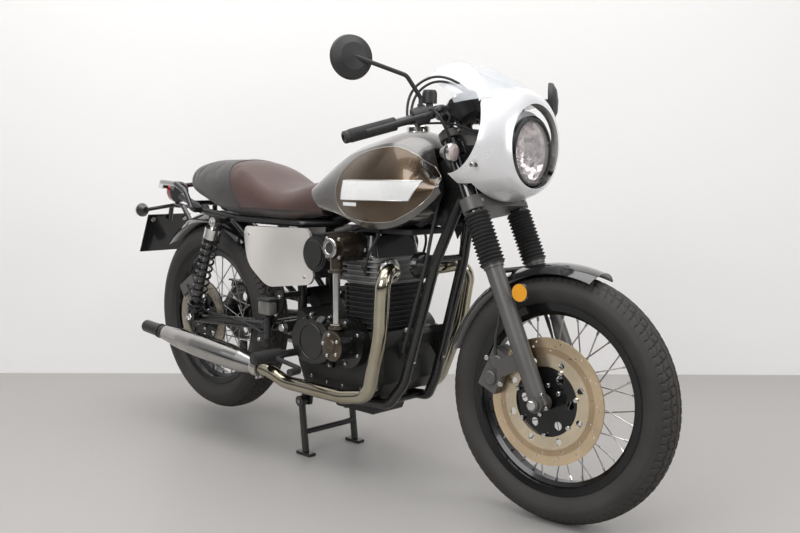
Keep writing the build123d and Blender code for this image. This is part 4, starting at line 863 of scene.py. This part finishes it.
# Handlebar controls: satin black housings and levers, ribbed rubber grips with end weights, and black
# cables that loop up and forward into the cowl.
dress(satin_black, "hand_controls")
reservoir_black = finish("reservoir black", (0.03, 0.03, 0.03), (0.05, 0.05, 0.05), 0.3,
                         0.1, 20.0)
made("front_reservoir_cap", [lathe([(0, 0), (17.5, 0), (17.5, 5), (15, 7), (0, 7)], (1162, -184, 1080), top,
                                   28)],
     reservoir_black, "steering")
bolted("cap_screws", [(Vector((1162 + x, -184 + y, 1086)), top) for x in (-9, 9) for y in (-8, 8)],
       "steering", 0.4)
weight_rows = [(8.6, 0), (15, 0), (16, 3), (16, 12), (13, 15), (8.6, 15)]
grip_rings, bar_weights = [], []
for sign in (1, -1):
    outer_end, inner_end = Vector((1068, -372 * sign, 963)), Vector((1140, -232 * sign, 1010))
    way = (outer_end - inner_end).normalized()
    start = outer_end - way * 122
    grip_rings += [(start + way * reach, way) for reach in (2, *range(6, 126, 5))]
    bar_weights.append(lathe(weight_rows, outer_end + way * 4.4, way, 24))
grip_ring = lathe([(16.2, -1.4), (17.4, -0.7), (17.4, 0.7), (16.2, 1.4)], steps=20)
repeated("grip_ribs", grip_ring, grip_rings, rubber, "steering")
made("bar_end_rings", bar_weights, satin_black, "steering")
cables = {
    "throttle_cable": (((1128, -214, 1018), (1110, -196, 1070), (1150, -150, 1120), (1216, -120, 1098),
                        (1262, -80, 1030), (1262, -50, 990)), 3.4),
    "throttle_return": (((1122, -222, 1014), (1100, -206, 1076), (1146, -158, 1132), (1222, -128, 1108),
                         (1266, -88, 1034), (1266, -56, 986)), 3.4),
    "clutch_cable": (((1128, 214, 1018), (1180, 200, 1066), (1226, 150, 1086), (1256, 100, 1040),
                      (1258, 60, 980)), 3.6),
}
switch_route = ((1110, 230, 1000), (1130, 180, 1004), (1176, 110, 1010), (1230, 80, 990), (1258, 40, 960))
for side, sign in sides.items():
    cables["switch_lead_" + side] = ([sided(spot, sign) for spot in switch_route], 3.0)
for name, (route, radius) in cables.items():
    made(name, [hose(route, radius)], rubber, "steering")

# Mirrors: round heads on bent stems, with a silvered glass set in the back of each.
# The right one stands higher and further back than the left.
dress(satin_black, "mirrors")
mirror_glass = finish("mirror glass", (0.88, 0.89, 0.90), (0.84, 0.85, 0.87), 0.02, 0.02, metal=1.0)
glass_rows = [(0, 8.5), (50, 8.5), (51, 7.9), (0, 7.9)]
for side, centre, turn in (("right", (1057, -362, 1156), radians(-24)),
                           ("left", (1180, 368, 1104), radians(28))):
    facing = Vector((cos(turn), sin(turn), 0.06)).normalized()
    made("mirror_glass_" + side, [lathe(glass_rows, centre, -facing, 48)], mirror_glass, "steering")

# Instruments: two round gauges in black pods with bright bezels, with white marks on dark dials and a
# red needle on each.
dress(satin_black, "instruments")
gauge_lean = radians(35)
gauge_way = Vector((-sin(gauge_lean), 0, cos(gauge_lean)))
gauge_frame = Matrix((left, gauge_way.cross(left), gauge_way)).transposed()
dial_black = finish("dial", (0.015, 0.015, 0.017), (0.022, 0.022, 0.024), 0.4)
mark_white = finish("mark white", (0.82, 0.82, 0.80), (0.74, 0.74, 0.72), 0.4)
needle_red = finish("needle red", (0.60, 0.03, 0.02), (0.45, 0.02, 0.02), 0.35)
bezel_rows = [(36, 3), (44.5, 5), (44.5, 8), (40, 9.5), (36.5, 8)]
bezels, dials, marks, needles = [], [], [], []
for sign in (1, -1):
    centre = Vector((1168, sign * 54, 1066))
    bezels.append(lathe(bezel_rows, centre, gauge_way, 48))
    dials.append(lathe([(0, 4.1), (37, 4.1), (37, 4.6), (0, 4.6)], centre, gauge_way, 40))
    for n in range(25):
        turn = gauge_frame @ Matrix.Rotation(radians(-135 + n * 270 / 24), 3, "Z")
        marks.append((centre + gauge_way * 4.7 + turn @ (left * 31), turn))
    turn = gauge_frame @ Matrix.Rotation(radians(128), 3, "Z")
    needles.append(block(centre + gauge_way * 6.2 + turn @ (left * 12), (1.6, 30, 0.8), turn, 0.2))
    needles.append(lathe([(0, 5), (5, 5), (5, 7.5), (0, 7.5)], centre, gauge_way, 20))
made("gauge_bezels", bezels, chrome, "steering")
made("gauge_dials", dials, dial_black, "steering")
made("gauge_needles", needles, needle_red, "steering")
repeated("gauge_marks", block((0, 0, 0), (1.2, 5.0, 0.5), edge=0.1), marks, mark_white, "steering")

# Headlight: a black bowl and rim on two ears, with a many-sided chromed reflector behind a clear lens.
# The facets are shaken a little so that each throws its own light.
lamp_centre = Vector((1351, 0, 938))
bowl_rows = [(0, -120), (40, -112), (74, -70), (88, -12), (92, -6), (92, 4), (86, 9), (81, 9), (80.5, -4),
             (78, -16), (60, -66), (0, -96)]
ears = [rod((1314, sign * 84, 938), (1314, sign * 91, 938), 9) for sign in (1, -1)]
bowl = made("headlight_bowl", [lathe(bowl_rows, lamp_centre, front, 72), *ears], gloss_black, "steering")
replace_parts(bowl, "headlight")
facets_round, facet_rings, cap_radius, mirror_radius = 26, 9, 14, 80
seeded = random.Random(5)
shaken = {}
for m in range(1, facet_rings):
    for n in range(facets_round):
        shaken[m, n, 0] = seeded.uniform(-5.0, 5.0), seeded.uniform(-2.2, 2.2)
facet_points = []
for n in range(facets_round):
    for m, layer in [(m, 0) for m in range(facet_rings + 1)] + [(m,
                                                                 1) for m in reversed(range(facet_rings + 1))]:
        deeper, wider = shaken.get((m, n, layer), (0, 0))
        share = m / facet_rings
        depth = -58 + 50 * share**1.7 - 2 * layer + deeper
        radius = cap_radius + (mirror_radius - cap_radius) * share + wider
        angle = 2 * pi * (n + (m % 2) * 0.5) / facets_round
        facet_points.append(lamp_centre + Vector((depth, radius * cos(angle), radius * sin(angle))))
# The reflector and the bulb cap are chrome with a faint pink tint, which is a painted reflection.
chrome_with_painted_pink = finish("reflector", (0.80, 0.73, 0.71), (0.52, 0.45, 0.44), 0.08, 0.1, 60.0,
                     metal=1.0)
facets = facet_points, strip_faces(facets_round, 2 * (facet_rings + 1))
made("headlight_reflector", [facets], chrome_with_painted_pink, "steering", crease=2)
bulb_rows = [(0, -64), (14.5, -60), (14.5, -44), (11, -36), (0, -33)]
made("headlight_bulb_cap", [lathe(bulb_rows, lamp_centre, front, 24)], chrome_with_painted_pink, "steering")


def clear_sheet(name, roughness, alpha, scale, first, second):
    """Clear plastic, in a tint that drifts between two."""
    material = bpy.data.materials.new(name)
    material.use_nodes = True
    tree = material.node_tree
    shader = tree.nodes["Principled BSDF"]
    place, noise = added(tree, "TexCoord", "TexNoise")
    tint = colour_mix(tree, first, second)
    put(shader, {"Roughness": roughness, "Alpha": alpha})
    put(noise, {"Scale": scale})
    wire(tree, (place, "Object", noise, "Vector"), (noise, "Fac", tint, "Factor"),
         (tint, "Result", shader, "Base Color"))
    return material


# The clear lens carries a faint pink tint that drifts between two, a painted reflection.
lens_painted_pink = clear_sheet("lens with painted pink reflection", 0.02, 0.16, 30.0, (0.92, 0.88, 0.88), (0.80, 0.78, 0.80))
lens_rows = [(0, 17.5), (30, 16), (60, 11), (80, 3), (80, 0.5), (60, 8.5), (30, 13.5), (0, 15)]
made("headlight_lens", [lathe(lens_rows, lamp_centre, front, 64)], lens_painted_pink, "steering")

# Cowl: moulded shell in pearl white silver outside and black inside, on a screw each side. A funnel in
# the same pearl closes the gap from the lamp's rim to the shell.
cowl_pearl = finish("cowl pearl", (0.82, 0.815, 0.82), (0.77, 0.77, 0.79), 0.26, 0.05, 5.0,
                    1600.0,
                    0.00003, metal=0.15, coat=1.0)


def black_inside(material, centre, inside):
    """Paints a thin shell another way where its skin faces a centre."""
    tree = material.node_tree
    place, away, facing, within = added(tree, "TexCoord", "VectorMath", "VectorMath", "Math")
    away.operation, facing.operation, within.operation = "SUBTRACT", "DOT_PRODUCT", "LESS_THAN"
    put(away, {1: centre})
    put(within, {1: 0.0})
    blend = colour_mix(tree, None, inside)
    wire(tree, (place, "Object", away, 0), (away, "Vector", facing, 0), (place, "Normal", facing, 1),
         (facing, "Value", within, 0), (within, "Value", blend, "Factor"),
         (tree.nodes["varied"], "Colour", blend, "A"),
         (blend, "Result", tree.nodes["Principled BSDF"], "Base Color"))


def skin_tree(mesh):
    """A mesh ready to be met by straight lines."""
    return BVHTree.FromPolygons([v.co.copy() for v in mesh.vertices], [p.vertices[:] for p in mesh.polygons])


black_inside(cowl_pearl, steering_place @ Vector((1250, 0, 950)), (0.02, 0.02, 0.022))
dress(cowl_pearl, "cowl")
bolted("cowl_screws", paired((1296, 176.5, 900)), "steering", 1.1)
cowl_skin = skin_tree(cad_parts["cowl"].data)
funnel_count, funnel_start, funnel_reach, open_radius, funnel_points = 72, 88, 0.045, 104, []
for n in range(funnel_count):
    angle = 2 * pi * n / funnel_count
    out = Vector((0, cos(angle), sin(angle)))
    spot = lamp_centre - front * 14 + out * funnel_start
    way = (steering_place @ (spot + out) - steering_place @ spot).normalized()
    reached = cowl_skin.ray_cast(steering_place @ spot, way, funnel_reach)[3]
    wide_edge = funnel_start - 1 + reached * 1000 if reached else open_radius
    for depth, radius in ((-6, 91), (-14, wide_edge), (-17, wide_edge), (-10, 90)):
        funnel_points.append(lamp_centre + front * depth + out * radius)
made("cowl_funnel", [(funnel_points, strip_faces(funnel_count, 4))], cowl_pearl, "steering")

# Screen: a bowed clear sheet over the instruments, milky against the light, screwed to the cowl's top
# edge through soft washers.
screen_clear = clear_sheet("clear screen", 0.03, 0.34, 14.0, (0.80, 0.82, 0.84),
                           (0.70, 0.73, 0.76))
dress(screen_clear, "windscreen")

# Lamps and horn: the four signals are black bodies with a chrome ring and a clear ribbed lens, the tail
# lamp is red, and the horn has a bright ring round its disc.
dark = (0.02, 0.02, 0.02)
signal_bands = ((-2, (0.02, 0.02, 0.021), 0.2, 0.3), (11.5, (0.82, 0.81, 0.80), 1.0, 0.08),
                (60, (0.80, 0.66, 0.63), 0.0, 0.12))
dress(banded("front signal", (1212, 0, 931), front, "Along", signal_bands, "steering", 1.0, 0.0005, 350.0),
      "front_signals")
dress(banded("rear signal", (-312, 0, 738), -front, "Along", signal_bands, "chassis", 1.0, 0.0005, 350.0),
      "rear_signals")
tail_bands = ((9, dark, 0.2, 0.3), (80, (0.36, 0.008, 0.008), 0.0, 0.12))
dress(banded("tail lamp", (-262, 0, 801), (-0.993, 0, 0.119), "Along", tail_bands, "chassis", 1.0, 0.0006,
             300.0),
      "tail_light")
horn_bands = ((28, dark, 0.3, 0.35), (33, (0.015, 0.015, 0.015), 0.3, 0.2),
              (39.5, (0.70, 0.69, 0.67), 1.0, 0.15),
              (80, dark, 0.2, 0.35))
dress(banded("horn", (998, -24, 622), (0.968, -0.242, 0.097), "Radius", horn_bands), "horn")

# Fuel tank: a pressed steel tank over the backbone, in grey metallic, with a dark bronze panel on each
# side inside a raised pinstripe, and a bare bright badge across the panel.
tank_grey = finish("tank grey", (0.135, 0.130, 0.124), (0.165, 0.158, 0.150), 0.24, 0.05, 4.0,
                   2600.0, 0.00004, metal=0.85, coat=1.0)
tank_bronze = finish("tank bronze", (0.080, 0.052, 0.030), (0.13, 0.085, 0.045), 0.26, 0.05,
                     4.0,
                     2600.0, 0.00006, metal=0.9, coat=1.0)
stripe_gold = finish("stripe", (0.50, 0.46, 0.40), (0.40, 0.36, 0.30), 0.2, 0.05, 30.0,
                     metal=0.6,
                     coat=0.6)
badge_bright = finish("badge", (0.90, 0.90, 0.89), (0.80, 0.80, 0.79), 0.2, 0.1, 12.0, 2200.0,
                      0.00005)
dress(tank_grey, "fuel_tank")
dress(chrome, "fuel_cap")
whole = Matrix.Identity(4)


def on_side(skin, x, z, sign, proud):
    """The place on a side of a body at a station and height, lifted off its skin by some millimetres."""
    start = chassis_place @ Vector((x, sign * 300, z))
    hit = skin.ray_cast(start, -outward[sign])[0]
    if hit is None:
        return chassis_place @ Vector((x, sign * 60, z))
    return hit + Vector((0, sign, 0.35)).normalized() * proud * 0.001


def smooth_loop(corners, steps=8):
    """A closed smooth line through a few corners."""
    line, count = [], len(corners)
    for n in range(count):
        a, b, c, d = (Vector(corners[(n + k - 1) % count]) for k in range(4))
        for t in (m / steps for m in range(steps)):
            line.append(0.5 * (2 * b + (c - a) * t + (2 * a - 5 * b + 4 * c - d) * t**2
                               + (3 * b - a - 3 * c + d) * t**3))
    return line


def straight_loop(corners, steps=12):
    """A closed line with many points on each straight side."""
    spots = [Vector(corner) for corner in corners]
    return [a + (b - a) * m / steps for a, b in zip(spots, spots[1:] + spots[:1]) for m in range(steps)]


def side_patch(skin, outline, sign, proud, rings=14):
    """A thin closed plate that follows a body's side inside a closed outline of (station, height)."""
    count = len(outline)
    layer = rings * count + 1
    centre = sum(outline, Vector((0, 0))) / count
    points, faces = [], []
    for lift in (proud, -0.8):
        for share in (1 - m / rings for m in range(rings)):
            for spot in outline:
                at = centre + (spot - centre) * share
                points.append(on_side(skin, at.x, at.y, sign, lift))
        points.append(on_side(skin, centre.x, centre.y, sign, lift))
    for n in range(count):
        k = (n + 1) % count
        faces.append((n, k, k + layer, n + layer))
        for base in (0, layer):
            for low in range(base, base + (rings - 1) * count, count):
                faces.append((low + n, low + k, low + k + count, low + n + count))
            last = base + (rings - 1) * count
            faces.append((last + n, last + k, base + layer - 1))
    return points, faces


def loop_bead(spots, radius, closed=True, ring=6):
    """A thin round bead along places in metres."""
    points, count = [], len(spots)
    for n, spot in enumerate(spots):
        ahead = spots[(n + 1) % count] if closed or n + 1 < count else spot
        behind = spots[n - 1] if closed or n else spot
        way = (ahead - behind).normalized()
        across = way.cross(Vector((0.1, 1, 0.2))).normalized()
        up = way.cross(across)
        for m in range(ring):
            angle = 2 * pi * m / ring
            points.append(spot + (across * cos(angle) + up * sin(angle)) * radius * 0.001)
    return points, strip_faces(count, ring, closed)


panel_corners = ((766, 806), (768, 852), (798, 898), (850, 932), (920, 949), (990, 953), (1046, 934),
                 (1084, 904),
                 (1110, 874), (1116, 850), (1104, 824), (1072, 792), (1030, 766), (985, 749), (900, 745),
                 (815, 756),
                 (778, 776))
badge_corners = ((800, 861), (1085, 862), (1052, 807), (790, 805))
tag_corners = ((800, 798), (866, 798), (864, 788), (799, 788))
tank_skin = skin_tree(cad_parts["fuel_tank"].data)
for side, sign in sides.items():
    panel, plate, tag = smooth_loop(panel_corners), straight_loop(badge_corners), straight_loop(tag_corners,
                                                                                                6)
    for name, outline, proud, rings, material in (("panel", panel, 0.5, 14, tank_bronze),
                                                  ("badge", plate, 2.6, 8, badge_bright),
                                                  ("tag", tag, 1.8, 3, badge_bright)):
        made(f"tank_{name}_{side}", [side_patch(tank_skin, outline, sign, proud, rings)], material, crease=50,
             place=whole)
    for name, outline, proud, radius, material in (("stripe", panel, 0.6, 1.5, stripe_gold),
                                                   ("badge_rim", plate, 2.4, 1.3, chrome)):
        spots = [on_side(tank_skin, p.x, p.y, sign, proud) for p in outline]
        made(f"tank_{name}_{side}", [loop_bead(spots, radius)], material, crease=60, place=whole)

# Side covers: pressed shells in silver metallic under clear lacquer, each held by two screws in rubber
# grommets.
cover_silver = finish("cover silver", (0.88, 0.85, 0.81), (0.82, 0.79, 0.75), 0.30, 0.05, 5.0,
                      2600.0, 0.00004, metal=0.6, coat=1.0)
dress(cover_silver, "side_covers")
cover_skin = skin_tree(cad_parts["side_covers"].data)
bolted("side_cover_screws", [(chassis_place.inverted() @ on_side(cover_skin, x, z, sign, 0.2), outward[sign])
                             for x, z in ((622, 566), (352, 684)) for sign in (1, -1)], size=0.8)

# Seat: foam under stretched vinyl on a black pan, maroon brown in front, dark grey over the tail and
# along the lower rim, with a piped seam across the step and round the rim.
seat = shown("seat_cushion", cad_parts["seat"].data.copy())
bpy.context.view_layer.objects.active = seat
seat.select_set(True)


def applied(piece):
    """Turns a piece's live modifiers into plain mesh."""
    mesh = evaluated(piece)
    piece.modifiers.clear()
    piece.data = mesh


remesh = seat.modifiers.new("remesh", "REMESH")
remesh.mode = "VOXEL"
remesh.voxel_size = 0.0058
applied(seat)
seat_shrink, seat_cap, cloth_frames = 0.0035, 0.0075, 20
start_places = [v.co - v.normal * seat_shrink for v in seat.data.vertices]
for v, place in zip(seat.data.vertices, start_places):
    v.co = place
cloth = seat.modifiers.new("cloth", "CLOTH")
cloth.settings.quality = 5
cloth.settings.mass = 0.3
cloth.settings.use_pressure = True
cloth.settings.uniform_pressure_force = 4.0
cloth.settings.effector_weights.gravity = 0.0
cloth.point_cache.frame_end = cloth_frames
for n in range(1, cloth_frames + 1):
    scene.frame_set(n)
applied(seat)
scene.frame_set(1)
for v, place in zip(seat.data.vertices, start_places):
    moved = v.co - place
    if moved.length > seat_cap:
        v.co = place + moved * (seat_cap / moved.length)
relax = seat.modifiers.new("relax", "SMOOTH")
relax.factor, relax.iterations = 0.5, 6
finer = seat.modifiers.new("finer", "SUBSURF")
finer.levels = finer.render_levels = 1
applied(seat)
seat.data.shade_smooth()
maroon, tail_dark, rim_dark = (0.082, 0.042, 0.034), (0.050, 0.047, 0.045), (0.022, 0.021, 0.021)
step_station, step_lean, rim_height = 270, radians(29), 766
seat_vinyl = banded("seat vinyl", (step_station, 0, 800), (cos(step_lean), 0, sin(step_lean)), "Along", (
    (0, tail_dark, 0.0, 0.46), (800, maroon, 0.0, 0.42)), coat=0.0, relief=0.00035, grain=520.0)
put(seat_vinyl.node_tree.nodes["Principled BSDF"], {"Sheen Weight": 0.15})


def below(material, height, colour):
    """Paints all that lies lower than a height in another colour."""
    tree = material.node_tree
    varied = tree.nodes["varied"]
    before = varied.inputs["Colour"].links[0].from_node
    place, parts, low = added(tree, "TexCoord", "SeparateXYZ", "Math")
    low.operation = "LESS_THAN"
    put(low, {1: height * 0.001})
    blend = colour_mix(tree, None, colour)
    wire(tree, (place, "Object", parts, "Vector"), (parts, "Z", low, 0), (low, "Value", blend, "Factor"),
         (before, "Color", blend, "A"), (blend, "Result", varied, "Colour"))


below(seat_vinyl, rim_height, rim_dark)
seat.data.materials.clear()
seat.data.materials.append(seat_vinyl)
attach(seat, "chassis")
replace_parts(seat, "seat")
seat_skin = skin_tree(seat.data)


def seat_band(station, lean, low_angle=-22, high_angle=202, steps=60):
    """Places over the cushion from one side to the other, in a plane that leans back as it rises."""
    spots = []
    middle = chassis_place @ Vector((station, 0, 800))
    for n in range(steps + 1):
        angle = radians(low_angle + (high_angle - low_angle) * n / steps)
        out = Vector((-sin(lean) * sin(angle), cos(angle), cos(lean) * sin(angle)))
        hit = seat_skin.ray_cast(middle + out * 0.4, -out)[0]
        if hit is not None:
            spots.append(hit + out * 0.0002)
    return spots


piping = finish("seat piping", (0.030, 0.022, 0.021), (0.05, 0.04, 0.038), 0.4, 0.1, 30.0,
                900.0,
                0.0002)
seams = [loop_bead(seat_band(step_station, step_lean), 2.0, False)]
for sign in (1, -1):
    rim_spots = [on_side(seat_skin, x, rim_height, sign, 0.1) for x in range(-40, 601, 12)]
    seams.append(loop_bead(rim_spots, 1.7, False))
made("seat_piping", seams, piping, crease=60, place=whole)

# Tail: a gloss black grab rail round the seat's end, and a bare plate on a black holder that carries
# two round reflectors.
dress(gloss_black, "grab_rail")
plate_white = finish("plate", (0.74, 0.74, 0.73), (0.68, 0.68, 0.67), 0.32, 0.08, 20.0)
dress(plate_white, "number_plate")
at_plate = Matrix.Translation((-380, 0, 646)) @ Matrix.Rotation(atan2(65, 137), 4, "Y")
reflector_rows = [(0, 0), (9, 0), (9, 4), (7, 6), (0, 6.5)]
made("plate_reflectors", [lathe(reflector_rows, at_plate @ Vector((5.2, y, 62)), at_plate.to_3x3() @ front,
                                20)
                          for y in (-68, 68)], bright_steel)

# Stands and footrests: enamelled stands on pivots under the frame, and pegs in ribbed rubber on
# satin black hangers.
dress(enamel, "centre_stand", "side_stand")
dress(satin_black, "footrests")
peg_ring = lathe([(18.6, -2.4), (20.4, -1.4), (20.4, 1.4), (18.6, 2.4)], steps=20)
repeated("peg_ribs", peg_ring, paired(*((520, 156 + 8 * n, 316) for n in range(12))), rubber)

# Under the tank and behind the barrels: starter, coils, heat guard, the head's gussets and the wiring,
# all black and held by clips and bolts to the frame.
made("starter_motor", [rod((706, -70, 470), (706, 60, 470), 34, 4)], engine_black)
made("ignition_coils", [rod((1010, sign * 46, 742), (1060, sign * 40, 778), 17, 4) for sign in (1, -1)],
     satin_black)
made("heat_guard", [block((900, 0, 719), (250, 170, 16), edge=4),
                    block((1040, 0, 775), (60, 64, 70), edge=8)],
     rubber)
gusset = ((1168, 806), (1102, 930), (1066, 905), (1040, 830), (1096, 700))
gussets = [([Vector((x, sign * y, z)) for y in (24, 27) for x, z in gusset], strip_faces(2, 5, False))
           for sign in (1, -1)]
made("head_gussets", gussets, enamel)
loom_route = ((1092, 50, 800), (1080, 64, 720), (1070, 72, 640), (1030, 80, 500), (992, 84, 380))
looms = [hose([sided(spot, sign) for spot in loom_route], 5) for sign in (-1, 1)]
looms.append(hose([(560, -60, 700), (600, -96, 690), (700, -100, 700), (780, -96, 716), (900, -70, 742)], 5))
made("wiring", looms, rubber)
